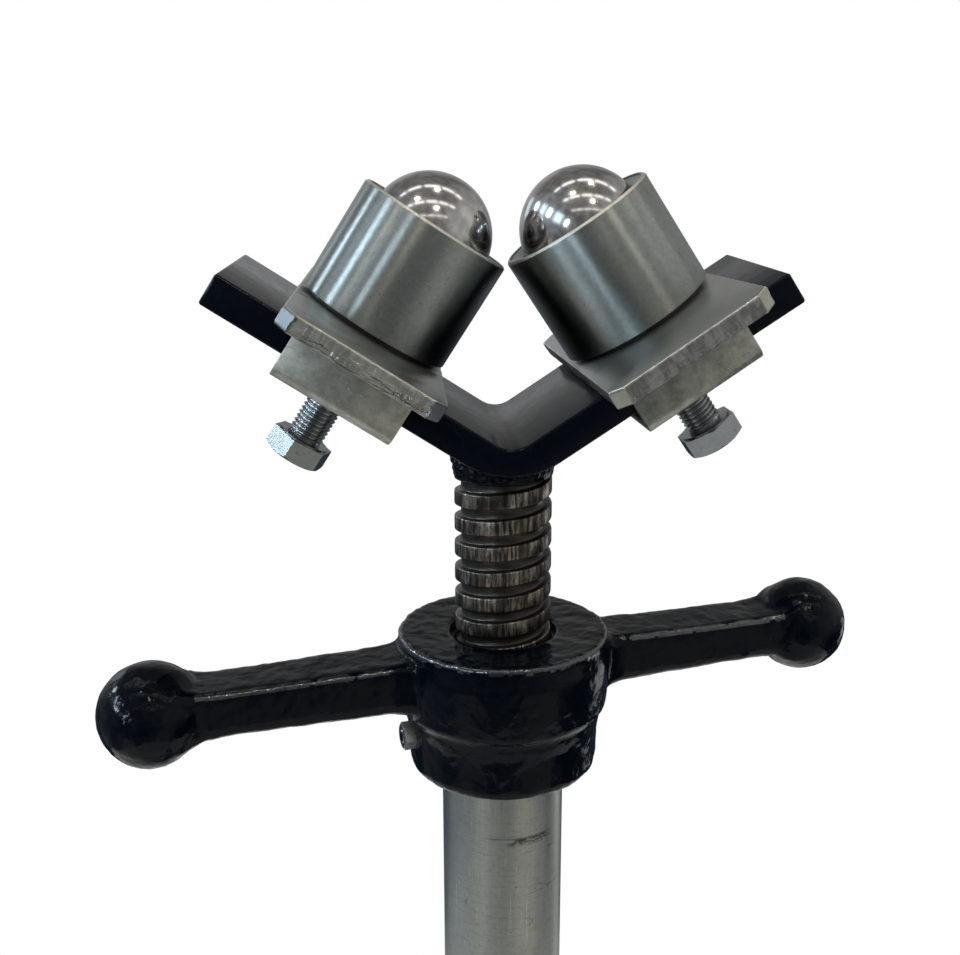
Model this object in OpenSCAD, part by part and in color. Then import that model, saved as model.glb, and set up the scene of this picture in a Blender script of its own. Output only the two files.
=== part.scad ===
// Adjustable pipe stand with a V head and two ball transfer units.
// Z is up, the mast axis is the Z axis, and the feet stand on z = 0.
// The pipe lies along Y, in the V that the two arms make in the XZ plane.

/* [Folding base] */
// Distance of each foot from the mast axis
foot_radius = 320; // [240:5:400]
// Height of the leg pivots above the floor
pivot_height = 240; // [200:5:280]
// Distance from the outer tube's wall to the leg pivots
pivot_offset = 26; // [24:1:34]
// Outside width of the square leg tube
leg_size = 35; // [30:1:38]
// Wall of the square leg tube
leg_wall = 3; // [2:0.5:4]
// Diameter of the leg pivot bolts
pivot_bolt_d = 12; // [10:1:14]
// Thickness of the bracket plates that hold the legs
lug_t = 6; // [4:1:8]
// Wall of the rubber foot around the leg
foot_wall = 3; // [2:0.5:5]
// Thickness of the rubber under the leg
foot_floor = 6; // [4:1:10]
// Length of the leg that the rubber foot covers
foot_grip = 42; // [30:2:60]

/* [Outer tube] */
// Wall of the outer tube
outer_wall = 5.5; // [4.5:0.1:7]
// Height of the outer tube's lower end above the floor
outer_bottom = 180; // [160:5:195]
// Height of the outer tube's upper end above the floor
outer_top = 615; // [590:5:630]
// Radial gap between the mast and the outer tube
mast_gap = 0.5; // [0.3:0.1:1]
// Height of the lowest pin hole above the floor
pin_height = 320; // [310:5:340]
// Distance between the pin holes
pin_pitch = 50; // [40:1:60]
// Number of pin holes in a row
pin_holes = 5; // [2:1:5]
// Diameter of the height pin
pin_d = 12.7; // [10:0.1:14]

/* [Mast] */
// Outside diameter of the mast tube
mast_d = 48.3; // [46:0.1:50]
// Wall of the mast tube
mast_wall = 3.6; // [2.6:0.1:4]
// Height of the handle nut's top face above the floor
nut_top = 800; // [770:5:830]

/* [Jack screw] */
// Thread pitch
pitch = 10; // [8:1:12]
// Outside diameter of the thread
screw_d = 37; // [35:0.5:38]
// Depth of the thread groove
groove_depth = 2.5; // [2:0.1:3]
// Width of the thread groove along the screw
groove_w = 4.5; // [3.5:0.1:5.5]
// Length of screw below the handle nut's top face
screw_below = 148; // [140:1:160]
// Gap between the screw's thread and the thread in the nut
thread_gap = 0.3; // [0.2:0.05:0.4]

/* [Handle nut] */
// Diameter of the nut's top face
nut_d = 80.6; // [76:0.2:86]
// Height of the whole casting
nut_h = 55.6; // [52:0.2:60]
// Diameter of the sleeve below the nut
sleeve_d = 73; // [70:0.5:75]
// Depth of the mast's end below the nut's top face
mast_seat = 31; // [28:0.5:32]
// Distance from the mast axis to the ball ends' centres
ball_end_reach = 134.6; // [115:0.2:160]
// Diameter of the ball ends
ball_end_d = 37.8; // [32:0.2:42]
// Height of the handle arms at the nut
arm_h = 19; // [15:0.5:22]
// Depth of the handle arms at the nut
arm_w = 25; // [20:0.5:28]
// Angle of the handle arms from the V's plane
handle_angle = 14.8; // [-90:0.1:90]
// Diameter of the retaining screw
set_screw_d = 6; // [5:0.5:7]

/* [V head] */
// Width of the flat bar along the pipe
bar_w = 79; // [70:1:90]
// Thickness of the flat bar
bar_t = 11.6; // [10:0.1:13]
// Angle of each arm above the horizontal
arm_angle = 33.2; // [28:0.1:38]
// Length of the left arm from the V's corner
arm_left = 115.4; // [112:0.2:130]
// Length of the right arm from the V's corner
arm_right = 110.8; // [110:0.2:130]
// Height of the V's corner above the nut's top face
apex_rise = 79.25; // [75:0.05:90]
// Radius of the bend on the bar's upper side
bend_r = 10; // [8:0.5:14]
// Radius of the bend on the bar's lower side
bend_outer_r = 30; // [24:0.5:32]
// Angle by which the welded V leans to the left
v_lean = 0.3; // [0:0.1:0.6]

/* [Clamp unit] */
// Length of the clamp plate along the arm
plate_l = 60; // [56:1:62]
// Width of the clamp plate along the pipe
plate_w = 138; // [120:1:150]
// Thickness of the clamp plate
plate_t = 6.5; // [5:0.1:8]
// Chamfer of the clamp plate's corners
plate_chamfer = 4.7; // [2:0.1:7]
// Length of the channel along the arm
channel_l = 46; // [40:1:52]
// Sheet thickness of the channel
channel_t = 3.6; // [3:0.1:4.5]
// Outside radius of the channel's bends
channel_r = 6; // [4.5:0.1:7]
// Clear height left under the bar in the channel
under_bar_gap = 3.6; // [2:0.1:5]
// Thread diameter of the clamp bolt
bolt_d = 14; // [12:0.5:14]
// Width across flats of the clamp bolt's head
bolt_af = 21; // [18:0.5:24]
// Height of the clamp bolt's head
bolt_head_h = 8; // [7:0.1:10]
// Length of thread showing under the channel
bolt_out = 21.2; // [14:0.2:26]

/* [Ball transfer unit] */
// Outside diameter of the cup
cup_d = 58.2; // [57.6:0.2:60]
// Height of the cup
cup_h = 42.4; // [41:0.2:46]
// Diameter of the main ball
main_ball_d = 45; // [44:0.1:45.4]
// Depth of the ball's centre below the cup's rim
ball_sink = 5.05; // [4:0.05:6.5]
// Diameter of the bearing balls
bearing_d = 3.6; // [3:0.1:3.8]
// Gap on each side of the bearing balls
bearing_gap = 0.2; // [0.15:0.05:0.3]
// Wall of the hardened seat
seat_wall = 0.9; // [0.8:0.1:1.2]
// Gap between the two cups' rims
head_gap = 0.5; // [0.3:0.1:8]
// Distance that the left unit sits lower on its arm, and the right one higher
head_shift = 1.4; // [0:0.1:3]
// Angle by which the right unit is turned on its arm
right_yaw = 3; // [0:0.5:3]

/* [Hidden] */
$fn = 64;

// Overrun that carries a cut past the face it leaves
cut = 10;
// Gap between flat faces that slide on each other
face_gap = 0.3;
// Radial gap of pins, bolts and shafts that turn
shaft_gap = 0.08;
// Whole turn and right angle
turn = 360;
quarter = 90;

paint_black = "#15181d";
zinc = "#8f9498";
bare_steel = "#83857f";
oiled_steel = "#4b4540";
polished = "#c9ccd0";
rubber_black = "#202020";

// Base

mast_r = mast_d / 2;
mast_bore_r = mast_r - mast_wall;
outer_bore_r = mast_r + mast_gap;
outer_r = outer_bore_r + outer_wall;
outer_d = 2 * outer_r;
pivot_r = outer_r + pivot_offset;
leg_tilt = atan((foot_radius - pivot_r) / pivot_height);
leg_reach = pivot_height / cos(leg_tilt);
leg_angles = [225, 315, 135, 45];
pivot_bolt_r = pivot_bolt_d / 2;
pivot_head_share = 0.6;
pivot_head_h = pivot_bolt_d * pivot_head_share;
hex_af_share = 1.55;
pivot_af = pivot_bolt_d * hex_af_share;
pivot_nut_h = pivot_bolt_d * pivot_head_share;
pivot_tail = 3;
leg_side_gap = 0.5;
lug_inner = leg_size / 2 + leg_side_gap;
lug_outer = lug_inner + lug_t;
lug_r = 16;
lug_drop = 30;
lug_rise = 34;
foot_skirt = 14;
bead_r = 4;

// Height pin

pin_r = pin_d / 2;
pin_tip = 8;
pin_tip_chamfer = 2;
pin_neck = 12;
pin_knob_r = 13;
pin_knob_l = 16;
pin_knob_round = 3;
pin_collar_r = 9;
pin_collar_l = 3;

// Mast

mast_top = nut_top - mast_seat - face_gap;
mast_bottom = pin_height + pin_r + face_gap;

// Jack screw and thread

thread_steps = 32;
ramp_steps = 2;
flank = 0.2;
crest_r = screw_d / 2;
root_r = crest_r - groove_depth;
crest_w = pitch - groove_w;
// Height of the thread ridge's centre, at angle zero, below the nut's top face
thread_phase = 0.93;
turns_below = 13;
thread_turns = 18 + 29 / 32;
ridge_start = nut_top - thread_phase - turns_below * pitch;
screw_bottom = nut_top - screw_below;
screw_chamfer = 1.5;
screw_collar = 8.4;
screw_joint_gap = 0.2;

// V head

apex_z = nut_top + apex_rise;
bend_z = apex_z + bend_r / cos(arm_angle);
bend_outer_z = apex_z + (bend_outer_r - bar_t) / cos(arm_angle);
v_under_z = bend_outer_z - bend_outer_r;
screw_top = v_under_z - screw_joint_gap;
weld_reach = 4;
weld_drop = 4;
weld_rise = 9;

// Handle nut

nut_r = nut_d / 2;
sleeve_r = sleeve_d / 2;
rim_round = 3;
nut_waist_z_shares = [0.3, 0.48, 0.62, 0.66];
nut_waist_r_shares = [0.99, 0.945, 0.885];
sleeve_round = 4;
sleeve_mouth = 1.2;
arm_drop = 15.2;
arm_h_end = 17;
arm_w_end = 21;
arm_chamfer = 4;
bush_wall = 3.2;
bush_r = crest_r + thread_gap + bush_wall;
bush_recess = 3;
bush_chamfer = 1;
sleeve_gap = 0.1;
set_screw_r = set_screw_d / 2;
set_drop = 39.5;
groove_h = 7;
groove_cut = 1.2;
boss_r = 7.5;
boss_out = 0.6;
locknut_af = 9.5;
locknut_h = 5;
set_screw_out = 1;
set_tip_gap = 0.2;
socket_r = 1.75;
socket_depth = 3.5;

// Clamp unit, in a frame with X along the arm, Y along the pipe and Z away from the bar

plate_z = face_gap;
plate_top = plate_z + plate_t;
side_clearance = 0.14;
turned_bar_half = bar_w / 2 / cos(right_yaw) + channel_l / 2 * tan(right_yaw);
channel_in = 2 * (turned_bar_half + side_clearance);
channel_out = channel_in + 2 * channel_t;
channel_floor = -bar_t - under_bar_gap;
channel_bottom = channel_floor - channel_t;
bolt_r = bolt_d / 2;
bolt_root_share = 0.88;
bolt_pitch = 2;
// Share of the pitch that each thread ring fills
thread_fill = 0.99;
bolt_thread_z = -bar_t - face_gap;
bolt_head_z = channel_bottom - bolt_out;
bolt_washer_h = 0.6;
bolt_washer_share = 0.94;
bolt_hole_gap = 0.1;
hex_chamfer_share = 0.18;
cup_screw_r = 5;
cup_screw_head_r = 9.5;
cup_screw_head_h = 4.2;
cup_screw_depth = 7;

// Ball transfer unit

cup_r = cup_d / 2;
spigot_h = 1.6;
spigot_inset = 2.6;
cup_base = plate_top + spigot_h;
cup_top = cup_base + cup_h;
rim_chamfer = 1;
ball_r = main_ball_d / 2;
ball_z = cup_top - ball_sink;
bearing_r = bearing_d / 2;
bearing_orbit = ball_r + bearing_gap + bearing_r;
seat_r = ball_r + bearing_d + 2 * bearing_gap;
cup_bore_r = seat_r + seat_wall;
cup_floor = ball_z - seat_r - seat_wall;
seat_top = ball_z + bearing_d / 4;
ring_recess = 0.5;
ring_top = cup_top - ring_recess;
ring_gap = 0.2;
ring_hole_r = ball_r + ring_gap;
bearing_rows = [22, 48, 74];
bearing_spacing_share = 1.12;
head_s = cup_r + (cup_top * sin(arm_angle) + head_gap / 2) / cos(arm_angle);

// Shared shapes

module hex_prism(af, h) {
  cylinder(r = af / 2 / cos(turn / 12), h = h, $fn = 6);
}

module hex_chamfered(af, h, chamfer_top) {
  corner_r = af / 2 / cos(turn / 12);
  chamfer = af * hex_chamfer_share / 2;
  intersection() {
    hex_prism(af, h);
    rotate_extrude()
      polygon([
        [0, 0],
        [corner_r - (chamfer_top ? 0 : chamfer), 0],
        [corner_r, chamfer_top ? 0 : chamfer / 2],
        [corner_r, h - (chamfer_top ? chamfer / 2 : 0)],
        [corner_r - (chamfer_top ? chamfer : 0), h],
        [0, h]
      ]);
  }
}

// A rod turned with ring-shaped thread crests, from z = 0 up to z = length
module threaded_rod(r, root_share, step, length) {
  count = floor(length / step);
  teeth = [
    for (i = [0 : count - 1], k = [0 : 2])
      [k == 1 ? r : r * root_share, (i + k / 2 * thread_fill) * step]
  ];
  rotate_extrude()
    polygon(concat([[0, 0]], teeth, [[r * root_share, length], [0, length]]));
}

// Skin of a screw thread: a ridge that climbs round a round wall between two flat ends.
// lower and upper list the rings below and above the thread as [radius, height].
function ring_points(r, z) = [
  for (i = [0 : thread_steps - 1])
    [r * cos(turn * i / thread_steps), r * sin(turn * i / thread_steps), z]
];

function ridge_points(base_r, ridge_r, centre_z, width, steps) = [
  for (k = [0 : steps], j = [0 : 3])
    let (
      rise = min(1, k / ramp_steps, (steps - k) / ramp_steps),
      top_r = base_r + (ridge_r - base_r) * rise,
      r = j == 0 || j == 3 ? base_r : top_r,
      offset = j == 0 ? -width / 2 : j == 1 ? -width / 2 + flank : j == 2 ? width / 2 - flank : width / 2,
      angle = turn * k / thread_steps
    )
    [r * cos(angle), r * sin(angle), centre_z + pitch * k / thread_steps + offset]
];

function quad(a, b, c, d) = [[a, b, c], [a, c, d]];

function fan(centre, rim) = [for (i = [0 : len(rim) - 2]) [centre, rim[i], rim[i + 1]]];

function thread_faces(n, low, high, ridge, steps) =
  let (
    r = function (k, j) ridge + 4 * k + j,
    b = function (i) low + i % n,
    t = function (i) high + i % n,
    last = steps - n
  )
  concat(
    [for (k = [0 : steps - 1], j = [0 : 2]) each quad(r(k, j), r(k + 1, j), r(k + 1, j + 1), r(k, j + 1))],
    [for (k = [0 : last - 1]) each quad(r(k, 3), r(k + 1, 3), r(k + 1 + n, 0), r(k + n, 0))],
    [for (k = [0 : n - 2]) each quad(b(k), b(k + 1), r(k + 1, 0), r(k, 0))],
    fan(r(n - 1, 0), [b(n - 1), b(n), r(0, 0), r(0, 1), r(0, 2), r(0, 3), r(n, 0)]),
    fan(r(last + 1, 3), concat(
      [t(last + 1), t(last)],
      [for (j = [3 : -1 : 0]) r(steps, j)],
      [r(last, 3)]
    )),
    [for (k = [last + 1 : steps - 1]) each quad(r(k, 3), r(k + 1, 3), t(k + 1), t(k))]
  );

function band_faces(n, low, high) = [
  for (i = [0 : n - 1])
    each quad(low + i, low + (i + 1) % n, high + (i + 1) % n, high + i)
];

function flipped(faces) = [for (f = faces) [for (i = [len(f) - 1 : -1 : 0]) f[i]]];

// Base

module leg_frame(index) {
  rotate([0, 0, leg_angles[index]])
    children();
}

module leg_axis() {
  translate([pivot_r, 0, pivot_height])
    rotate([0, -leg_tilt, 0])
      children();
}

// Straight bar of the leg's section, long enough to pass both of its cut ends
module leg_bar(width) {
  leg_axis()
    translate([-width / 2, -width / 2, -leg_reach - leg_size])
      cube([width, width, leg_reach + pivot_r + leg_size]);
}

module above(z) {
  translate([-foot_radius, -foot_radius, z])
    cube([4 * foot_radius, 2 * foot_radius, 2 * nut_top]);
}

module beyond(r) {
  translate([r, -foot_radius, -foot_radius])
    cube([2 * foot_radius, 2 * foot_radius, 2 * nut_top]);
}

module leg_envelope() {
  intersection() {
    leg_bar(leg_size);
    above(foot_floor);
    beyond(outer_r + face_gap);
  }
}

module leg(index) {
  color(paint_black)
    leg_frame(index)
      difference() {
        leg_envelope();
        leg_bar(leg_size - 2 * leg_wall);
        translate([pivot_r, leg_size, pivot_height])
          rotate([quarter, 0, 0])
            cylinder(r = pivot_bolt_r + shaft_gap, h = 2 * leg_size);
      }
}

module foot(index) {
  width = leg_size + 2 * foot_wall;
  color(rubber_black)
    leg_frame(index)
      difference() {
        intersection() {
          leg_axis()
            translate([-width / 2, -width / 2, -leg_reach - foot_skirt])
              cube([width, width, foot_skirt + foot_grip]);
          above(0);
        }
        leg_envelope();
      }
}

module outer_tube() {
  color(paint_black)
    difference() {
      translate([0, 0, outer_bottom])
        cylinder(r = outer_r, h = outer_top - outer_bottom);
      translate([0, 0, outer_bottom - cut])
        cylinder(r = outer_bore_r, h = outer_top - outer_bottom + 2 * cut);
      for (i = [0 : pin_holes - 1])
        translate([-outer_d, 0, pin_height + i * pin_pitch])
          rotate([0, quarter, 0])
            cylinder(r = pin_r + shaft_gap, h = 2 * outer_d);
    }
}

module lug_outline() {
  difference() {
    union() {
      translate([pivot_r, pivot_height])
        circle(r = lug_r);
      polygon([
        [0, pivot_height - lug_drop],
        [outer_r + bead_r, pivot_height - lug_drop],
        [pivot_r + lug_r * sin(leg_tilt), pivot_height - lug_r * cos(leg_tilt)],
        [pivot_r + lug_r * cos(leg_tilt), pivot_height + lug_r * sin(leg_tilt)],
        [outer_r + bead_r, pivot_height + lug_rise],
        [0, pivot_height + lug_rise]
      ]);
    }
    translate([pivot_r, pivot_height])
      circle(r = pivot_bolt_r + shaft_gap);
  }
}

module leg_brackets() {
  color(paint_black)
    for (index = [0 : 3])
      leg_frame(index)
        for (side = [-1, 1])
          difference() {
            translate([0, side > 0 ? lug_outer : -lug_inner, 0])
              rotate([quarter, 0, 0])
                linear_extrude(lug_t)
                  lug_outline();
            cylinder(r = outer_r, h = 2 * nut_top);
            translate([-2 * outer_d, -outer_d, 0])
              cube([2 * outer_d, 2 * outer_d, 2 * nut_top]);
          }
}

module pivot_bolt() {
  translate([pivot_r, lug_outer + pivot_head_h, pivot_height])
    rotate([quarter, 0, 0]) {
      hex_chamfered(pivot_af, pivot_head_h, false);
      cylinder(r = pivot_bolt_r, h = pivot_head_h + 2 * lug_outer + pivot_nut_h + pivot_tail);
    }
}

module pivot_bolts() {
  color(zinc)
    for (index = [0 : 3])
      leg_frame(index)
        pivot_bolt();
}

module pivot_nuts() {
  color(zinc)
    for (index = [0 : 3])
      leg_frame(index)
        translate([pivot_r, -lug_outer, pivot_height])
          rotate([quarter, 0, 0])
            difference() {
              hex_chamfered(pivot_af, pivot_nut_h, true);
              translate([0, 0, -cut])
                cylinder(r = pivot_bolt_r, h = pivot_nut_h + 2 * cut);
            }
}

// Pin that the mast stands on: it passes through the outer tube from the right
module height_pin() {
  color(zinc)
    translate([0, 0, pin_height])
      rotate([0, quarter, 0])
        rotate_extrude()
          polygon([
            [0, -outer_r - pin_tip],
            [pin_r - pin_tip_chamfer, -outer_r - pin_tip],
            [pin_r, -outer_r - pin_tip + pin_tip_chamfer],
            [pin_r, outer_r + face_gap],
            [pin_collar_r, outer_r + face_gap],
            [pin_collar_r, outer_r + face_gap + pin_collar_l],
            [pin_r, outer_r + face_gap + pin_collar_l],
            [pin_r, outer_r + pin_neck],
            [pin_knob_r - pin_knob_round, outer_r + pin_neck],
            [pin_knob_r, outer_r + pin_neck + pin_knob_round],
            [pin_knob_r, outer_r + pin_neck + pin_knob_l - pin_knob_round],
            [pin_knob_r - pin_knob_round, outer_r + pin_neck + pin_knob_l],
            [0, outer_r + pin_neck + pin_knob_l]
          ]);
}

// Mast, with the groove that the retaining screw's tip runs in

module mast_tube() {
  color(bare_steel)
    difference() {
      translate([0, 0, mast_bottom])
        cylinder(r = mast_r, h = mast_top - mast_bottom);
      translate([0, 0, mast_bottom - cut])
        cylinder(r = mast_bore_r, h = mast_top - mast_bottom + 2 * cut);
      translate([0, 0, nut_top - set_drop - groove_h / 2])
        difference() {
          cylinder(r = mast_r + cut, h = groove_h);
          translate([0, 0, -cut])
            cylinder(r = mast_r - groove_cut, h = groove_h + 2 * cut);
        }
    }
}

// Handle nut: one casting of nut, sleeve, two arms and two ball ends

module arm_blank() {
  side_outline = [
    [0, -arm_h / 2],
    [ball_end_reach, -arm_h_end / 2],
    [ball_end_reach, arm_h_end / 2],
    [0, arm_h / 2]
  ];
  plan_outline = [
    [0, -arm_w / 2],
    [ball_end_reach, -arm_w_end / 2],
    [ball_end_reach, arm_w_end / 2],
    [0, arm_w / 2]
  ];
  chamfer_w = (arm_w + arm_h) / sqrt(2) - arm_chamfer;
  intersection() {
    translate([0, arm_w, 0])
      rotate([quarter, 0, 0])
        linear_extrude(2 * arm_w)
          polygon(side_outline);
    translate([0, 0, -arm_h])
      linear_extrude(2 * arm_h)
        polygon(plan_outline);
    rotate([quarter / 2, 0, 0])
      translate([0, -chamfer_w / 2, -chamfer_w / 2])
        cube([ball_end_reach, chamfer_w, chamfer_w]);
  }
}

module nut_outline() {
  polygon([
    [0, 0],
    [nut_r - rim_round, 0],
    [nut_r - rim_round / 3, -rim_round / 3],
    [nut_r, -rim_round],
    [nut_r * nut_waist_r_shares[0], -nut_h * nut_waist_z_shares[0]],
    [nut_r * nut_waist_r_shares[1], -nut_h * nut_waist_z_shares[1]],
    [nut_r * nut_waist_r_shares[2], -nut_h * nut_waist_z_shares[2]],
    [sleeve_r, -nut_h * nut_waist_z_shares[3]],
    [sleeve_r, sleeve_round - nut_h],
    [sleeve_r - sleeve_round, -nut_h],
    [0, -nut_h]
  ]);
}

module handle_nut() {
  color(paint_black)
    translate([0, 0, nut_top])
      rotate([0, 0, handle_angle])
        difference() {
          union() {
            rotate_extrude()
              nut_outline();
            for (side = [0, 1])
              rotate([0, 0, side * turn / 2])
                translate([0, 0, -arm_drop]) {
                  arm_blank();
                  translate([ball_end_reach, 0, 0])
                    sphere(r = ball_end_d / 2);
                }
            translate([-sleeve_r - boss_out, 0, -set_drop])
              rotate([0, quarter, 0])
                cylinder(r = boss_r, h = sleeve_r - mast_r);
          }
          translate([0, 0, -bush_recess])
            cylinder(r = bush_r, h = bush_recess + cut);
          translate([0, 0, -mast_seat - cut])
            cylinder(r = bush_r, h = mast_seat + cut);
          translate([0, 0, -nut_h - cut])
            cylinder(r = mast_r + sleeve_gap, h = nut_h - mast_seat + cut);
          translate([0, 0, -nut_h - cut])
            cylinder(r = mast_r + sleeve_gap + sleeve_mouth, h = sleeve_mouth + cut);
          translate([-sleeve_r - cut, 0, -set_drop])
            rotate([0, quarter, 0])
              cylinder(r = set_screw_r + shaft_gap, h = sleeve_r);
        }
}

module thread_bush() {
  groove_r = crest_r + thread_gap;
  ridge_r = root_r + thread_gap;
  ridge_w = groove_w - 2 * thread_gap;
  bottom_z = nut_top - mast_seat;
  top_z = nut_top - bush_recess;
  turns = floor((top_z - bottom_z - ridge_w - 2 * bush_chamfer) / pitch * thread_steps) / thread_steps;
  // The first ridge centre above the bush's lower face that stays in the screw's groove
  first_low = bottom_z + bush_chamfer + ridge_w / 2 - ridge_start - pitch / 2;
  first_angle_steps = ceil(first_low / pitch * thread_steps);
  first_z = ridge_start + pitch / 2 + first_angle_steps * pitch / thread_steps;
  start_angle = turn * first_angle_steps / thread_steps;
  steps = round((turns * thread_steps) - 1);
  points = concat(
    ring_points(bush_r, bottom_z),
    ring_points(groove_r + bush_chamfer / 2, bottom_z),
    ring_points(groove_r, bottom_z + bush_chamfer / 2),
    ring_points(groove_r, top_z - bush_chamfer / 2),
    ring_points(groove_r + bush_chamfer / 2, top_z),
    ring_points(bush_r, top_z),
    ridge_points(groove_r, ridge_r, first_z, ridge_w, steps)
  );
  n = thread_steps;
  faces = concat(
    band_faces(n, 5 * n, 0),
    band_faces(n, 0, n),
    band_faces(n, n, 2 * n),
    thread_faces(n, 2 * n, 3 * n, 6 * n, steps),
    band_faces(n, 3 * n, 4 * n),
    band_faces(n, 4 * n, 5 * n)
  );
  color(oiled_steel)
    rotate([0, 0, start_angle])
      polyhedron(points, faces);
}

module retaining_screw() {
  tip = mast_r - groove_cut + set_tip_gap;
  outer = sleeve_r + boss_out + locknut_h + set_screw_out;
  color(zinc)
    translate([0, 0, nut_top - set_drop])
      rotate([0, 0, handle_angle])
        rotate([0, -quarter, 0])
          translate([0, 0, tip])
            difference() {
              cylinder(r = set_screw_r, h = outer - tip);
              translate([0, 0, outer - tip - socket_depth])
                cylinder(r = socket_r, h = socket_depth + cut, $fn = 6);
            }
}

module retaining_locknut() {
  color(zinc)
    translate([0, 0, nut_top - set_drop])
      rotate([0, 0, handle_angle])
        rotate([0, -quarter, 0])
          translate([0, 0, sleeve_r + boss_out])
            difference() {
              hex_chamfered(locknut_af, locknut_h, true);
              translate([0, 0, -cut])
                cylinder(r = set_screw_r, h = locknut_h + 2 * cut);
            }
}

// Jack screw, with a plain collar at the top and a plain end for the guide ring

module jack_screw() {
  n = thread_steps;
  steps = round(thread_turns * n);
  plain_top = screw_bottom + screw_chamfer;
  thread_low = ridge_start - crest_w;
  collar_z = screw_top - screw_collar;
  points = concat(
    ring_points(root_r - screw_chamfer, screw_bottom),
    ring_points(root_r, plain_top),
    ring_points(root_r, thread_low),
    ring_points(root_r, collar_z),
    ring_points(crest_r, collar_z + flank),
    ring_points(crest_r, screw_top),
    ridge_points(root_r, crest_r, ridge_start, crest_w, steps)
  );
  faces = concat(
    [[for (i = [0 : n - 1]) n - 1 - i]],
    band_faces(n, 0, n),
    band_faces(n, n, 2 * n),
    thread_faces(n, 2 * n, 3 * n, 6 * n, steps),
    band_faces(n, 3 * n, 4 * n),
    band_faces(n, 4 * n, 5 * n),
    [[for (i = [0 : n - 1]) 5 * n + i]]
  );
  color(oiled_steel)
    polyhedron(points, flipped(faces));
}

module guide_ring() {
  ring_h = ridge_start - crest_w - screw_bottom - 2 * screw_chamfer;
  color(oiled_steel)
    translate([0, 0, screw_bottom + screw_chamfer])
      difference() {
        cylinder(r = mast_bore_r - face_gap, h = ring_h);
        translate([0, 0, -cut])
          cylinder(r = root_r, h = ring_h + 2 * cut);
      }
}

// V head

module v_outline() {
  out_x = bend_outer_r * sin(arm_angle);
  out_z = bend_outer_z - bend_outer_r * cos(arm_angle);
  in_x = bend_r * sin(arm_angle);
  in_z = bend_z - bend_r * cos(arm_angle);
  difference() {
    union() {
      translate([0, apex_z])
        rotate(arm_angle)
          translate([-bar_t / 2, -bar_t])
            square([arm_right + bar_t / 2, bar_t]);
      translate([0, apex_z])
        rotate(turn / 2 - arm_angle)
          translate([-bar_t / 2, 0])
            square([arm_left + bar_t / 2, bar_t]);
      polygon([[0, apex_z - bar_t / 2], [in_x, in_z], [0, bend_z], [-in_x, in_z]]);
    }
    translate([0, bend_z])
      circle(r = bend_r);
    difference() {
      polygon([[0, bend_outer_z], [out_x, out_z], [0, apex_z - 2 * bar_t], [-out_x, out_z]]);
      translate([0, bend_outer_z])
        circle(r = bend_outer_r);
    }
  }
}

// Leans its children about the V's corner
module lean_head() {
  translate([0, 0, apex_z])
    rotate([0, -v_lean, 0])
      translate([0, 0, -apex_z])
        children();
}

module v_solid() {
  lean_head()
    translate([0, bar_w / 2, 0])
      rotate([quarter, 0, 0])
        linear_extrude(bar_w)
          v_outline();
}

module v_bar() {
  color(paint_black)
    v_solid();
}

module weld_bead() {
  weld_r = crest_r + weld_reach;
  color(paint_black)
    difference() {
      rotate_extrude()
        polygon([
          [0, screw_top - weld_drop],
          [crest_r + weld_reach / 4, screw_top - weld_drop],
          [crest_r + weld_reach / 2, screw_top - weld_drop / 2],
          [weld_r, screw_top + weld_rise / 3],
          [weld_r, screw_top + weld_rise],
          [0, screw_top + weld_rise]
        ]);
      translate([0, 0, screw_top - weld_drop - cut])
        cylinder(r = crest_r, h = weld_drop + cut);
      v_solid();
      translate([-bar_w, -bar_w, bend_z - bend_r])
        cube([2 * bar_w, 2 * bar_w, bar_w]);
    }
}

// Clamp unit. unit_frame puts its children on the right arm, and mirrors them for the left.

module unit_frame(side) {
  lean_head()
    mirror([side < 0 ? 1 : 0, 0, 0])
      translate([0, 0, apex_z])
        rotate([0, -arm_angle, 0])
          translate([head_s + side * head_shift, 0, 0])
            rotate([0, 0, side > 0 ? right_yaw : 0])
              children();
}

module clamp_plate(side) {
  half_l = plate_l / 2;
  half_w = plate_w / 2;
  c = plate_chamfer;
  color(zinc)
    unit_frame(side)
      difference() {
        translate([0, 0, plate_z])
          linear_extrude(plate_t)
            polygon([
              [half_l - c, -half_w], [half_l, c - half_w],
              [half_l, half_w - c], [half_l - c, half_w],
              [c - half_l, half_w], [-half_l, half_w - c],
              [-half_l, c - half_w], [c - half_l, -half_w]
            ]);
        translate([0, 0, plate_z - cut])
          cylinder(r = cup_screw_r, h = plate_t + 2 * cut);
        translate([0, 0, plate_z])
          cylinder(r1 = cup_screw_head_r, r2 = cup_screw_r, h = cup_screw_head_h);
      }
}

module channel_outline(half_w, bottom, r) {
  translate([-half_w, bottom + r])
    square([2 * half_w, plate_z - bottom - r]);
  translate([-half_w + r, bottom])
    square([2 * (half_w - r), 2 * r]);
  for (side = [-1, 1])
    translate([side * (half_w - r), bottom + r])
      circle(r = r);
}

module clamp_channel(side) {
  color(zinc)
    unit_frame(side)
      difference() {
        translate([-channel_l / 2, 0, 0])
          rotate([quarter, 0, quarter])
            linear_extrude(channel_l)
              difference() {
                channel_outline(channel_out / 2, channel_bottom, channel_r);
                channel_outline(channel_in / 2, channel_floor, channel_r - channel_t);
              }
        translate([0, 0, channel_bottom - cut])
          cylinder(r = bolt_r + bolt_hole_gap, h = channel_t + 2 * cut);
      }
}

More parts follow.
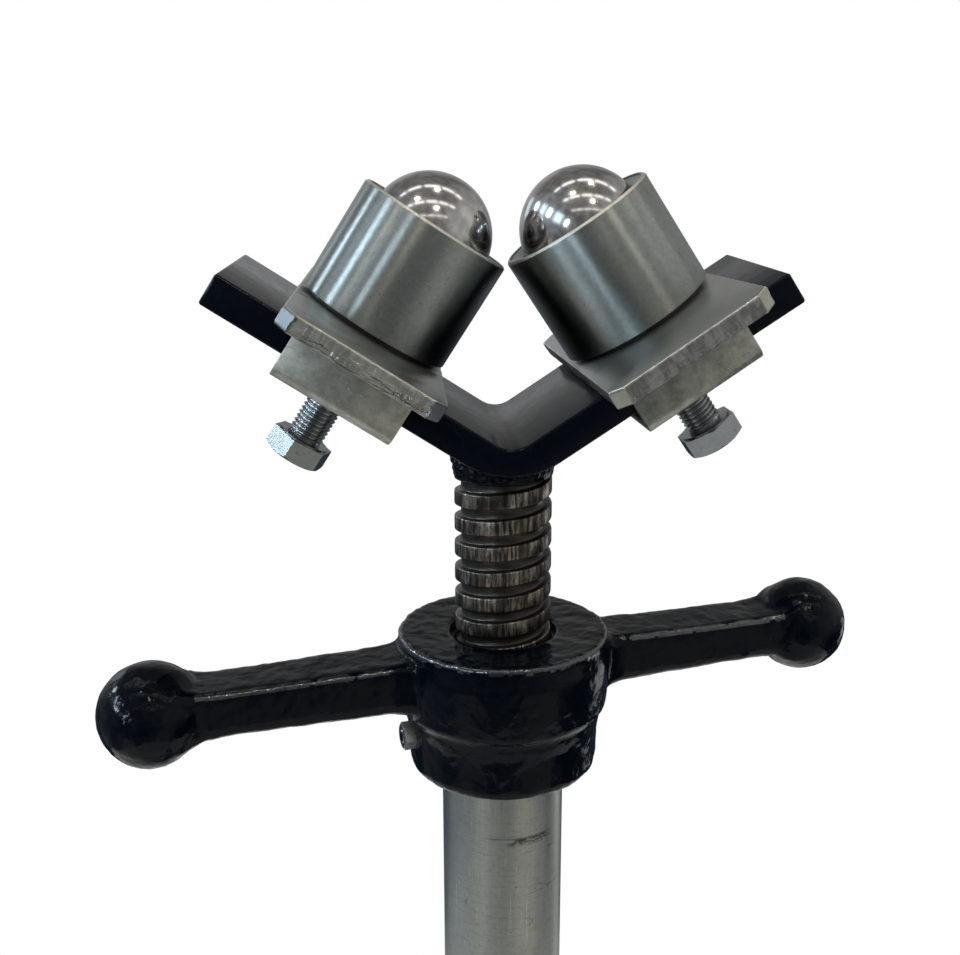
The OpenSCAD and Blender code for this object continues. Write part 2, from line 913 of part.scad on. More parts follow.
module clamp_bolt(side) {
  thread_l = bolt_thread_z - bolt_head_z;
  color(zinc)
    unit_frame(side) {
      translate([0, 0, bolt_head_z])
        threaded_rod(bolt_r, bolt_root_share, bolt_pitch, thread_l);
      translate([0, 0, bolt_head_z - bolt_washer_h])
        cylinder(r = bolt_af / 2 * bolt_washer_share, h = bolt_washer_h);
      translate([0, 0, bolt_head_z - bolt_washer_h - bolt_head_h])
        hex_chamfered(bolt_af, bolt_head_h, false);
    }
}

module cup_screw(side) {
  color(zinc)
    unit_frame(side)
      translate([0, 0, plate_z]) {
        cylinder(r1 = cup_screw_head_r, r2 = cup_screw_r, h = cup_screw_head_h);
        cylinder(r = cup_screw_r, h = plate_t + spigot_h + cup_screw_depth);
      }
}

module cup(side) {
  color(zinc)
    unit_frame(side)
      difference() {
        union() {
          translate([0, 0, plate_top])
            cylinder(r = cup_r - spigot_inset, h = 2 * spigot_h);
          translate([0, 0, cup_base])
            cylinder(r = cup_r, h = cup_h - rim_chamfer);
          translate([0, 0, cup_top - rim_chamfer])
            cylinder(r1 = cup_r, r2 = cup_r - rim_chamfer, h = rim_chamfer);
        }
        translate([0, 0, cup_floor])
          cylinder(r = cup_bore_r, h = cup_h);
        translate([0, 0, plate_top - cut])
          cylinder(r = cup_screw_r, h = spigot_h + cup_screw_depth + cut);
      }
}

module ball_seat(side) {
  color(bare_steel)
    unit_frame(side)
      difference() {
        translate([0, 0, cup_floor])
          cylinder(r = cup_bore_r, h = seat_top - cup_floor);
        translate([0, 0, ball_z])
          sphere(r = seat_r);
        translate([0, 0, ball_z])
          cylinder(r = seat_r, h = cup_h);
      }
}

module bearing_balls(side) {
  color(polished)
    unit_frame(side)
      translate([0, 0, ball_z]) {
        translate([0, 0, -bearing_orbit])
          sphere(r = bearing_r, $fn = 24);
        for (row = bearing_rows) {
          row_r = bearing_orbit * sin(row);
          count = floor(2 * PI * row_r / (bearing_d * bearing_spacing_share));
          for (i = [0 : count - 1])
            rotate([0, 0, turn * i / count])
              translate([row_r, 0, -bearing_orbit * cos(row)])
                sphere(r = bearing_r, $fn = 24);
        }
      }
}

module retaining_ring(side) {
  color(bare_steel)
    unit_frame(side)
      difference() {
        translate([0, 0, seat_top])
          cylinder(r = cup_bore_r, h = ring_top - seat_top);
        translate([0, 0, ball_z])
          sphere(r = ring_hole_r);
      }
}

module main_ball(side) {
  color(polished)
    unit_frame(side)
      translate([0, 0, ball_z])
        sphere(r = ball_r);
}

outer_tube();
leg_brackets();
pivot_bolts();
pivot_nuts();
leg(0);  // leg_front_left
leg(1);  // leg_front_right
leg(2);  // leg_rear_left
leg(3);  // leg_rear_right
foot(0);  // foot_front_left
foot(1);  // foot_front_right
foot(2);  // foot_rear_left
foot(3);  // foot_rear_right
height_pin();
mast_tube();
handle_nut();
thread_bush();
retaining_screw();
retaining_locknut();
jack_screw();
guide_ring();
v_bar();
weld_bead();
clamp_plate(-1);  // clamp_plate_left
clamp_channel(-1);  // clamp_channel_left
clamp_bolt(-1);  // clamp_bolt_left
cup_screw(-1);  // cup_screw_left
cup(-1);  // cup_left
ball_seat(-1);  // ball_seat_left
bearing_balls(-1);  // bearing_balls_left
retaining_ring(-1);  // retaining_ring_left
main_ball(-1);  // main_ball_left
clamp_plate(1);  // clamp_plate_right
clamp_channel(1);  // clamp_channel_right
clamp_bolt(1);  // clamp_bolt_right
cup_screw(1);  // cup_screw_right
cup(1);  // cup_right
ball_seat(1);  // ball_seat_right
bearing_balls(1);  // bearing_balls_right
retaining_ring(1);  // retaining_ring_right
main_ball(1);  // main_ball_right
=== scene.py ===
import math

import bmesh
import bpy
from mathutils import Matrix, Vector, noise


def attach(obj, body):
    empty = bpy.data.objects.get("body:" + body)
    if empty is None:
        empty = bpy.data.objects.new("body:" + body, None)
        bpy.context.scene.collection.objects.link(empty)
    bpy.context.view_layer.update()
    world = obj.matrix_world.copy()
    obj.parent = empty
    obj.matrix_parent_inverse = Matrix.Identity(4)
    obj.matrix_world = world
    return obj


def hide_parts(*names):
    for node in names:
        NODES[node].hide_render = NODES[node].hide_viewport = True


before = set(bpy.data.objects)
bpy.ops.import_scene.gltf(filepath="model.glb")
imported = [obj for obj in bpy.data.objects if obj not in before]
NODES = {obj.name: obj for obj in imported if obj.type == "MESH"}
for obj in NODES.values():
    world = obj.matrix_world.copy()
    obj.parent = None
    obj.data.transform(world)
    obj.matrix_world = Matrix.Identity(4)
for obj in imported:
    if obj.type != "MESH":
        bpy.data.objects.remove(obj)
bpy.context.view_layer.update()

MM = 0.001
SIDES = {"left": -1, "right": 1}

# Driving dimensions, in millimetres and radians. They are the CAD source's, but the bolts'
# radius and length, the gap under the bar and the ball ends' reach follow the photograph
# and differ from it by less than a millimetre.
NUT_TOP = 800.0
HANDLE_ANGLE = math.radians(14.8)
ARM_ANGLE = math.radians(33.2)
APEX_RISE = 79.25
APEX_Z = NUT_TOP + APEX_RISE
BAR_T = 11.6
BAR_W = 79.0
ARM_LENGTH = {"left": 115.4, "right": 110.8}
BEND_IN_R = 10.0
BEND_OUT_R = 30.0
CREST_R = 18.5
ROOT_R = 16.0
PITCH = 10.0
CREST_W = 5.5
SCREW_BELOW = 148.0
RIDGE_START = NUT_TOP - 0.93 - 13 * PITCH
MAST_R = 24.15
MAST_SEAT = 31.0
BUSH_R = 22.0
NUT_R = 40.3
SLEEVE_R = 36.5
NUT_H = 55.6
BALL_END_REACH = 134.2
BALL_END_R = 18.9
ARM_DROP = 15.2
CUP_R = 29.1
CUP_H = 42.4
CUP_BASE = 8.4
CUP_TOP = CUP_BASE + CUP_H
BALL_R = 22.5
BALL_SINK = 5.05
BALL_Z = CUP_TOP - BALL_SINK
HEAD_S = CUP_R + (CUP_TOP * math.sin(ARM_ANGLE) + 0.25) / math.cos(ARM_ANGLE)
HEAD_SHIFT = 1.4
RIGHT_YAW = math.radians(3.0)
V_LEAN = math.radians(0.3)
PLATE_L = 60.0
PLATE_W = 138.0
PLATE_LOW = 0.3
PLATE_HIGH = 6.8
PLATE_CHAMFER = 4.7
CHANNEL_L = 46.0
CHANNEL_T = 3.6
CHANNEL_HALF = (
    BAR_W / 2 / math.cos(RIGHT_YAW) + CHANNEL_L / 2 * math.tan(RIGHT_YAW) + 0.14 + CHANNEL_T
)
UNDER_BAR_GAP = 3.7
CHANNEL_LOW = -BAR_T - UNDER_BAR_GAP - CHANNEL_T
BOLT_R = 6.8
BOLT_TIP = -BAR_T - 0.3
BOLT_OUT = 22.0
BOLT_HEAD_TOP = CHANNEL_LOW - BOLT_OUT
BOLT_WASHER = 0.6
BOLT_HEAD_H = 8.0
BOLT_AF = 21.0
SET_DROP = 39.5

# Details of this model's own, in millimetres and radians
MOUTH_R = 20.6
BALL_END_SWELL = 0.3
ARM_STATIONS = [
    # distance from the axis, half width, half height
    (33, 17.5, 13.2), (38, 15.8, 12.2), (42, 13.9, 10.9), (47, 12.8, 10.2), (60, 12.4, 9.9),
    (90, 12.0, 9.3), (110, 11.9, 9.2), (117, 12.3, 9.7), (121, 13.4, 11.4), (126, 15.0, 14.0),
]
CASTING_VOXEL = 0.85
RIDGE_Y = 11.2
RIDGE_Z = 8.5
RIDGE_H = 0.7
RIDGE_SPREAD = 1.5
# Ridge height above which faces get the painted glint
RIDGE_GLINT_H = 0.26
SET_R = 3.0
SET_ROOT = 2.55
SET_SOCKET_R = 1.75
SET_SOCKET_DEPTH = 3.0
LOCK_AF = 9.5
LOCK_H = 5.0
COLLAR_TOP = APEX_Z - 8.0
BOLT_PITCH = 1.75
BOLT_THREAD = 0.85
BOLT_TURN = {"left": math.radians(-14.4), "right": math.radians(-1.2)}
WASHER_R = BOLT_AF * 0.47
CHANNEL_OUT_R = 3.6
CHANNEL_IN_R = 1.2
SHEAR_SEED = {"left": 11.0, "right": 47.0}
SHEAR_TEAR = {"left": 1.0, "right": 0.35}
EDGE_H = 0.6
CUP_FOOT_R = 26.5
CUP_FOOT_H = 1.6
CUP_MOUTH_R = 27.4
RING_DROP = 0.5
NOTCH_ANGLE = math.radians(52)
SCUFF_Z = NUT_TOP - 80.4


# Mesh helpers. Points are in millimetres and become metres here.

def link_object(name, data):
    obj = bpy.data.objects.new(name, data)
    bpy.context.scene.collection.objects.link(obj)
    return obj


def finish_object(name, mesh, materials, smooth_angle):
    """Joins and smooths a mesh in metres, and makes it an object."""
    bm = bmesh.new()
    bm.from_mesh(mesh)
    bmesh.ops.remove_doubles(bm, verts=bm.verts, dist=0.002 * MM)
    bmesh.ops.recalc_face_normals(bm, faces=bm.faces)
    limit = math.radians(smooth_angle)
    for face in bm.faces:
        face.smooth = True
    for edge in bm.edges:
        edge.smooth = edge.calc_face_angle(0) < limit
    bm.to_mesh(mesh)
    bm.free()
    for material in materials:
        mesh.materials.append(material)
    return link_object(name, mesh)


def make_object(name, points, faces, materials, smooth_angle):
    mesh = bpy.data.meshes.new(name)
    mesh.from_pydata([Vector(p) * MM for p in points], [], faces)
    return finish_object(name, mesh, materials, smooth_angle)


def from_bmesh(name, bm, materials, smooth_angle):
    for vert in bm.verts:
        vert.co *= MM
    mesh = bpy.data.meshes.new(name)
    bm.to_mesh(mesh)
    bm.free()
    return finish_object(name, mesh, materials, smooth_angle)


def bevel(obj, width):
    """Rounds the edges of a CAD node with a modifier."""
    modifier = obj.modifiers.new("edges", "BEVEL")
    modifier.width = width * MM
    modifier.segments = 2
    modifier.limit_method = "ANGLE"
    modifier.angle_limit = math.radians(35)
    modifier.harden_normals = True


def apply_modifiers(obj):
    graph = bpy.context.evaluated_depsgraph_get()
    mesh = bpy.data.meshes.new_from_object(obj.evaluated_get(graph))
    obj.modifiers.clear()
    obj.data = mesh


def ring_faces(rows, count):
    """Quads between closed rings that follow each other, each of count points."""
    faces = []
    for start in range(0, (rows - 1) * count, count):
        for i in range(count):
            a, b = start + i, start + (i + 1) % count
            faces.append((a, b, b + count, a + count))
    return faces


def join_skins(*skins):
    """Points and faces of several skins in one."""
    points, faces = [], []
    for skin_points, skin_faces in skins:
        faces += [tuple(i + len(points) for i in face) for face in skin_faces]
        points += skin_points
    return points, faces


def lathe(profile, segments):
    """Points and faces of a profile of (radius, height) turned round Z."""
    points = []
    for r, z in profile:
        for i in range(segments):
            angle = math.tau * i / segments
            points.append((r * math.cos(angle), r * math.sin(angle), z))
    return points, ring_faces(len(profile), segments)


def arc(cx, cz, r, start, end, steps):
    """Points of an arc, with the angles in degrees."""
    angles = [math.radians(start + (end - start) * k / steps) for k in range(steps + 1)]
    return [(cx + r * math.cos(angle), cz + r * math.sin(angle)) for angle in angles]


def helix(profile, start_z, turns, pitch, steps):
    """A skin that winds a one-pitch profile of (radius, height) round Z."""
    points, faces = [], []
    count = round(turns * steps)
    width = len(profile)
    for k in range(count + 1):
        angle = math.tau * k / steps
        rise = start_z + pitch * k / steps
        points += [(r * math.cos(angle), r * math.sin(angle), rise + z) for r, z in profile]
    for k in range(count):
        for j in range(width - 1):
            a = k * width + j
            faces.append((a, a + width, a + width + 1, a + 1))
    return points, faces


def hex_body(af, height, both=False, bore=0.0):
    """Hexagon from z = 0 up, its corners turned off at 30 degrees on the lower or both faces."""
    crown = af / 2 * 0.96
    slope = math.tan(math.radians(30))
    count = 72
    hexagon = []
    for i in range(count):
        angle = math.tau * i / count
        off = (angle + math.pi / 6) % (math.pi / 3) - math.pi / 6
        hexagon.append((angle, af / 2 / math.cos(off)))
    hole = bore or 0.01
    rings = [
        # radius (none follows the hexagon), height at the crown's radius, slope outside it
        (hole, 0.0, 0.0), (crown, 0.0, 0.0), (None, 0.0, slope),
        (None, height, -slope if both else 0.0), (crown, height, 0.0), (hole, height, 0.0),
    ]
    if bore:
        rings.append(rings[0])
    points = []
    for radius, z, rise in rings:
        for angle, corner in hexagon:
            r = radius or corner
            height_here = z + (corner - crown) * rise
            points.append((r * math.cos(angle), r * math.sin(angle), height_here))
    return points, ring_faces(len(rings), count)


def prism_bmesh(outline, low, high, swap):
    """Extrudes an outline along the axis that swap puts it on."""
    bm = bmesh.new()
    rows = [[bm.verts.new(swap(a, b, c)) for a, b in outline] for c in (low, high)]
    add_loft(bm, rows)
    bmesh.ops.recalc_face_normals(bm, faces=bm.faces)
    return bm


def add_loft(bm, rows):
    """Skins closed rings of vertices and caps both ends."""
    count = len(rows[0])
    for low, high in zip(rows, rows[1:]):
        for i in range(count):
            bm.faces.new((low[i], low[(i + 1) % count], high[(i + 1) % count], high[i]))
    bm.faces.new(rows[0][::-1])
    bm.faces.new(rows[-1])


def bevel_bmesh(bm, width, segments, angle):
    limit = math.radians(angle)
    edges = [e for e in bm.edges if e.calc_face_angle(0) > limit]
    bmesh.ops.bevel(
        bm, geom=edges, offset=width, segments=segments, profile=0.5, affect="EDGES")


def clamp(value):
    return max(0.0, min(1.0, value))


def lean_matrix():
    """Small lean of the welded V about its corner."""
    corner = Matrix.Translation((0, 0, APEX_Z * MM))
    return corner @ Matrix.Rotation(-V_LEAN, 4, "Y") @ corner.inverted()


def unit_matrix(side):
    """Frame of a clamp unit: X up along its arm, Z away from the bar. Its front is at -side * Y."""
    right = side == "right"
    return (
        lean_matrix()
        @ Matrix.Translation((0, 0, APEX_Z * MM))
        @ Matrix.Rotation(0 if right else math.pi, 4, "Z")
        @ Matrix.Rotation(-ARM_ANGLE, 4, "Y")
        @ Matrix.Translation(((HEAD_S + SIDES[side] * HEAD_SHIFT) * MM, 0, 0))
        @ Matrix.Rotation(RIGHT_YAW if right else 0, 4, "Z")
    )


def place(obj, body, nodes, matrix=None):
    if matrix is not None:
        obj.matrix_world = matrix
    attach(obj, body)
    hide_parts(*nodes)


# Materials

class Graph:
    """Short calls that add nodes to a new material, or to the world.

    position is the point in the object's millimetres, or the world's direction. x, y and z are
    its parts, and radius and angle are taken round Z.
    """

    def __init__(self, name, world=False):
        self.material = (bpy.data.worlds if world else bpy.data.materials).new(name)
        self.material.use_nodes = True
        self.tree = self.material.node_tree
        self.tree.nodes.clear()
        self.output = self.new("OutputWorld" if world else "OutputMaterial")
        coords = self.new("TexCoord").outputs
        self.position = coords["Generated"] if world else self.scale(coords["Object"], 1 / MM)
        self.x, self.y, self.z = self.new("SeparateXYZ", {0: self.position}).outputs
        square = self.math("ADD", self.times(self.x, self.x), self.times(self.y, self.y))
        self.radius = self.math("SQRT", square)
        self.angle = self.math("ARCTAN2", self.y, self.x)

    def new(self, kind, inputs=None, operation=None):
        """Adds a node of a kind, with its inputs by name or index."""
        node = self.tree.nodes.new("ShaderNode" + kind)
        if operation:
            node.operation = operation
        return self.put(node, inputs or {})

    def put(self, node, inputs):
        """Links or sets a node's inputs."""
        for socket, value in inputs.items():
            if isinstance(value, bpy.types.NodeSocket):
                self.tree.links.new(value, node.inputs[socket])
            else:
                node.inputs[socket].default_value = value
        return node

    def scale(self, vector, factor):
        return self.new("VectorMath", {0: vector, "Scale": factor}, "SCALE").outputs[0]

    def stretch(self, *factors):
        """Position stretched by a factor along each axis."""
        return self.new("VectorMath", {0: self.position, 1: factors}, "MULTIPLY").outputs[0]

    def dot(self, direction):
        """Share of the position along a fixed direction."""
        inputs = {0: self.position, 1: tuple(direction)}
        return self.new("VectorMath", inputs, "DOT_PRODUCT").outputs["Value"]

    def add(self, a, b):
        return self.new("VectorMath", {0: a, 1: b}, "ADD").outputs[0]

    def join(self, x, y, z):
        return self.new("CombineXYZ", {0: x, 1: y, 2: z}).outputs[0]

    def math(self, operation, *values):
        return self.new("Math", dict(enumerate(values)), operation).outputs[0]

    def times(self, product, *values):
        for value in values:
            product = self.math("MULTIPLY", product, value)
        return product

    def most(self, largest, *values):
        for value in values:
            largest = self.math("MAXIMUM", largest, value)
        return largest

    def linear(self, value, slope, start):
        return self.math("MULTIPLY_ADD", value, slope, start)

    def rest(self, value):
        return self.math("SUBTRACT", 1.0, value)

    def span(self, value, low, high, to_low=0.0, to_high=1.0):
        """Smooth step of a value from low to high."""
        node = self.new("MapRange")
        node.interpolation_type = "SMOOTHSTEP"
        self.put(node, {
            "Value": value, "From Min": low, "From Max": high, "To Min": to_low, "To Max": to_high,
        })
        return node.outputs[0]

    def window(self, value, low, high, soft):
        """1 between low and high, fading to 0 over soft outside them."""
        rise = self.span(value, low - soft, low)
        return self.times(rise, self.span(value, high, high + soft, 1.0, 0.0))

    def band(self, value, level, clear, edge, strength=1.0):
        """Full strength within clear of a level, fading to 0 at edge."""
        off = self.math("ABSOLUTE", self.math("SUBTRACT", value, level))
        return self.span(off, clear, edge, strength, 0.0)

    def noise(self, size, detail=3.0, rough=0.5, vector=None, distortion=0.0):
        return self.new("TexNoise", {
            "Vector": vector or self.position, "Scale": 1 / size, "Detail": detail,
            "Roughness": rough, "Distortion": distortion,
        }).outputs["Fac"]

    def wound(self, detail, rough, around, middle, up, height=None):
        """Noise laid round Z, with a scale per radian and one per millimetre of height."""
        spot = self.join(self.times(self.angle, around), middle, self.times(height or self.z, up))
        return self.noise(1.0, detail, rough, spot)

    def cells(self, size):
        inputs = {"Vector": self.position, "Scale": 1 / size}
        return self.new("TexVoronoi", inputs).outputs["Distance"]

    def specks(self, size, clear, edge, cover, low, high):
        """Round specks, kept only where a cover of noise of its own size is high."""
        dots = self.span(self.cells(size), clear, edge, 1.0, 0.0)
        return self.times(dots, self.span(self.noise(cover, 3), low, high))

    def mix(self, factor, a, b):
        """A colour between two, each a tuple or a socket."""
        node = self.new("Mix")
        node.data_type = "RGBA"
        colors = {
            index: (*color, 1.0) if isinstance(color, tuple) else color
            for index, color in ((6, a), (7, b))
        }
        self.put(node, {"Factor": factor, **colors})
        return node.outputs[2]

    def cover(self, color, *coats):
        """A colour with coats of (share, colour) laid over it."""
        for share, coat in coats:
            color = self.mix(share, color, coat)
        return color

    def tint(self, value, color):
        """A grey value spread over the three channels of a colour."""
        return self.join(*(self.times(value, part) for part in color))

    def surface(self, color, rough, bumps, metallic=1.0, specular=0.5, turned=0.0):
        """Ends a material.

        bumps are (height in 0 to 1, distance in millimetres, strength), each on the one before.
        turned stretches the highlights as on a surface turned round Z.
        """
        shader = self.new("BsdfPrincipled", {
            "Base Color": color, "Roughness": rough, "Metallic": metallic,
            "Specular IOR Level": specular,
        })
        if turned:
            tangent = self.new("Tangent")
            tangent.direction_type = "RADIAL"
            tangent.axis = "Z"
            self.put(shader, {
                "Anisotropic": turned, "Anisotropic Rotation": 0.25, "Tangent": tangent.outputs[0],
            })
        below = {}
        for height, distance, strength in bumps:
            inputs = {"Height": height, "Distance": distance * MM, "Strength": strength, **below}
            below = {"Normal": self.new("Bump", inputs).outputs[0]}
        self.put(shader, below)
        self.put(self.output, {"Surface": shader.outputs[0]})
        return self.material


def cast_enamel(name, specular, dark, grain_bump):
    """Gloss black enamel that has run over a sand casting."""
    g = Graph(name)
    lumps = g.noise(3.2, 3, 0.55)
    grain = g.noise(1.1, 2, 0.5)
    pits = g.span(g.cells(2.6), 0.0, 0.35)
    patches = g.span(g.noise(14, 4, 0.6), 0.55, 0.75)
    color = g.mix(patches, dark, (0.0016, 0.0033, 0.0066))
    rough = g.linear(g.noise(6, 3), 0.12, g.linear(patches, 0.12, 0.07))
    bumps = [(lumps, 0.45, 0.35), (grain, grain_bump, 0.3), (pits, 0.10, 0.3)]
    return g.surface(color, rough, bumps, metallic=0.0, specular=specular)


def bar_enamel():
    """Gloss black enamel on rolled flat bar, with a few pits and a film of dust."""
    g = Graph("bar_enamel")
    waves = g.noise(9, 2, 0.45)
    peel = g.noise(0.9, 2, 0.5)
    pits = g.span(g.cells(7.5), 0.0, 0.09)
    dust = g.span(g.noise(2.2, 5, 0.7), 0.52, 0.78)
    color = g.mix(dust, (0.0008, 0.0022, 0.0060), (0.005, 0.0065, 0.0095))
    rough = g.linear(g.noise(5, 4, 0.6), 0.16, 0.12)
    bumps = [(waves, 0.7, 0.25), (peel, 0.1, 0.3), (pits, 0.3, 0.5)]
    return g.surface(color, rough, bumps, metallic=0.0, specular=0.10)


def leg_enamel():
    """Gloss black enamel on tube, thin and scuffed."""
    g = Graph("leg_enamel")
    peel = g.noise(1.4, 2, 0.5)
    scuffs = g.span(g.noise(1.6, 6, 0.75, g.stretch(1.0, 1.0, 0.25)), 0.66, 0.74)
    color = g.mix(scuffs, (0.003, 0.0035, 0.005), (0.02, 0.02, 0.021))
    rough = g.linear(g.noise(12, 4, 0.6), 0.2, 0.14)
    return g.surface(color, rough, [(peel, 0.12, 0.35)], metallic=0.0, specular=0.3)


def turned_zinc():
    """Zinc plate over a turned cup: fine rings that draw reflections out, specks and scratches."""
    g = Graph("turned_zinc")
    rings = g.wound(3, 0.6, 2.0, g.radius, 7.0)
    cloud = g.noise(9, 5, 0.62)
    mottle = g.noise(1.7, 5, 0.7)
    specks = g.specks(2.7, 0.04, 0.12, 6, 0.47, 0.58)
    stains = g.span(g.noise(5.5, 6, 0.72), 0.54, 0.70)
    along = g.wound(3, 0.5, 60.0, 0.0, 0.22)
    across = g.wound(2, 0.4, 3.0, g.radius, 9.0)
    scratch = g.most(g.span(along, 0.72, 0.76), g.span(across, 0.71, 0.75))
    color = g.cover(
        g.mix(cloud, (0.23, 0.248, 0.243), (0.33, 0.35, 0.343)),
        (g.span(mottle, 0.35, 0.70, 0.0, 0.55), (0.20, 0.213, 0.205)),
        (g.times(stains, 0.35), (0.17, 0.177, 0.165)),
        (g.times(scratch, 0.7), (0.55, 0.56, 0.54)),
        (g.times(specks, 0.85), (0.03, 0.03, 0.028)),
    )
    rough = g.linear(cloud, 0.08, g.linear(stains, 0.06, 0.34))
    bumps = [(rings, 0.02, 0.4), (mottle, 0.05, 0.25), (g.rest(specks), 0.08, 0.6)]
    return g.surface(color, rough, bumps, turned=1.0)


def plate_zinc():
    """Zinc plate over rolled flat plate."""
    g = Graph("plate_zinc")
    cloud = g.noise(8, 5, 0.65)
    scale = g.noise(1.3, 4, 0.6)
    specks = g.span(g.cells(5.0), 0.0, 0.05, 1.0, 0.0)
    color = g.mix(cloud, (0.27, 0.285, 0.275), (0.39, 0.405, 0.39))
    color = g.mix(specks, color, (0.04, 0.04, 0.035))
    rough = g.linear(scale, 0.22, 0.27)
    return g.surface(color, rough, [(scale, 0.08, 0.45), (cloud, 0.3, 0.3)])


def sheared_zinc(name, dark, light, cracked):
    """Zinc plate over a sheared edge: upright drag marks above, a torn and cracked band below."""
    g = Graph(name)
    torn = g.span(g.linear(g.noise(9, 2), 2.4, g.z), 3.6, 4.8, cracked, 0.0)
    drag = g.noise(1.0, 4, 0.65, g.stretch(1.1, 1.1, 0.22))
    marks = g.span(g.noise(1.0, 3, 0.5, g.stretch(0.36, 0.36, 0.12)), 0.42, 0.60)
    tears = g.noise(1.0, 5, 0.68, g.stretch(0.13, 0.13, 0.75), 1.0)
    cracks = g.times(g.band(tears, 0.5, 0.0, 0.016), torn)
    for level, sway, seed in ((2.6, 7.0, 3.0), (1.2, 4.0, 17.0)):
        wander = g.noise(13, 4, 0.62, g.join(g.x, g.y, seed))
        path = g.linear(wander, sway, level - sway / 2)
        width = g.linear(g.noise(4, 3, 0.6, g.join(g.x, g.y, seed + 5)), 0.9, -0.18)
        crack = g.band(g.z, path, 0.02, g.most(width, 0.03), cracked)
        kept = g.span(g.noise(9, 2, 0.5, g.join(g.x, g.y, seed + 9)), 0.36, 0.50)
        cracks = g.most(cracks, g.times(crack, kept))
    color = g.mix(g.linear(drag, 0.5, g.times(marks, 0.5)), dark, light)
    color = g.mix(g.times(cracks, 0.85), color, (0.035, 0.032, 0.028))
    rough = g.linear(drag, 0.2, 0.36)
    bumps = [(drag, 0.25, 0.45), (g.noise(2.2, 4, 0.6), 0.25, 0.4), (g.rest(cracks), 0.4, 0.6)]
    return g.surface(color, rough, bumps)


def channel_zinc(name, dark, light):
    """Slightly yellow zinc plate over bent strip, pitted by rolling scale and scratched."""
    g = Graph(name)
    scale = g.noise(1.3, 5, 0.7)
    pits = g.specks(2.6, 0.03, 0.16, 5, 0.50, 0.60)
    scratch = g.span(g.noise(1.0, 4, 0.6, g.stretch(0.16, 0.9, 0.9), 0.4), 0.62, 0.68)
    color = g.cover(
        g.mix(g.span(g.noise(6, 6, 0.7), 0.3, 0.7), dark, light),
        (g.times(scratch, 0.45), (0.16, 0.155, 0.13)),
        (g.times(pits, 0.8), (0.05, 0.046, 0.038)),
    )
    rough = g.linear(scale, 0.2, 0.32)
    bumps = [(scale, 0.2, 0.5), (g.rest(scratch), 0.12, 0.4), (g.rest(pits), 0.3, 0.7)]
    return g.surface(color, rough, bumps)


def bright_zinc():
    """Bright bluish zinc on bolts and nuts."""
    g = Graph("bright_zinc")
    marks = g.noise(1.6, 4, 0.6)
    stains = g.span(g.noise(2.3, 5, 0.7), 0.55, 0.68, 0.0, 0.5)
    color = g.mix(g.noise(4, 4, 0.6), (0.21, 0.225, 0.235), (0.31, 0.325, 0.335))
    color = g.mix(stains, color, (0.16, 0.16, 0.15))
    return g.surface(color, g.linear(marks, 0.2, 0.2), [(marks, 0.05, 0.4)])


def polished_steel():
    """Polished hardened balls, with faint rolling marks."""
    g = Graph("polished_steel")
    smears = g.noise(6, 5, 0.65)
    hair = g.noise(1.0, 3, 0.6, g.stretch(0.25, 0.8, 2.4), 0.6)
    color = g.mix(smears, (0.31, 0.305, 0.30), (0.45, 0.445, 0.44))
    return g.surface(color, g.linear(smears, 0.10, 0.09), [(hair, 0.008, 0.4)])


def drawn_tube():
    """Bare drawn tube: long streaks, grinding rings, specks, dark scratches and one scuff."""
    g = Graph("drawn_tube")
    along = g.wound(5, 0.65, 9.0, 0.0, 0.02)
    lines = g.wound(3, 0.7, 24.0, 3.0, 0.04)
    rings = g.wound(4, 0.7, 2.2, 0.0, 1.5)
    mottle = g.noise(2.0, 5, 0.72)
    specks = g.specks(3.1, 0.05, 0.12, 7, 0.48, 0.56)
    swayed = g.linear(g.noise(30, 1), 8.0, g.z)
    scratch = g.band(g.wound(0, 0.3, 0.6, 7.0, 0.11, swayed), 0.5, 0.0, 0.006)
    scratch = g.times(scratch, g.span(g.noise(6, 2), 0.46, 0.56))
    scuff = g.times(
        g.window(g.z, SCUFF_Z - 0.3, SCUFF_Z + 1.6, 1.4),
        g.window(g.angle, -1.42, -0.95, 0.25),
        g.span(g.noise(1.5, 4, 0.7, g.stretch(0.35, 0.35, 1.3)), 0.38, 0.56),
    )
    trail = g.times(
        g.window(g.z, SCUFF_Z + 2.0, SCUFF_Z + 2.3, 0.3), g.window(g.angle, -1.80, -0.95, 0.25))
    dark = g.most(
        g.times(specks, 0.7), g.times(scratch, 0.55), g.times(scuff, 0.85), g.times(trail, 0.5))
    color = g.cover(
        g.mix(along, (0.26, 0.265, 0.245), (0.39, 0.395, 0.365)),
        (g.span(lines, 0.58, 0.68, 0.0, 0.5), (0.56, 0.565, 0.53)),
        (g.span(rings, 0.50, 0.72, 0.0, 0.5), (0.20, 0.20, 0.18)),
        (g.span(mottle, 0.45, 0.68, 0.0, 0.45), (0.22, 0.225, 0.205)),
        (dark, (0.035, 0.033, 0.028)),
    )
    rough = g.linear(g.noise(10, 5, 0.65), 0.16, g.linear(along, 0.1, 0.28))
    return g.surface(color, rough, [(along, 0.06, 0.5), (rings, 0.05, 0.5)], turned=0.5)


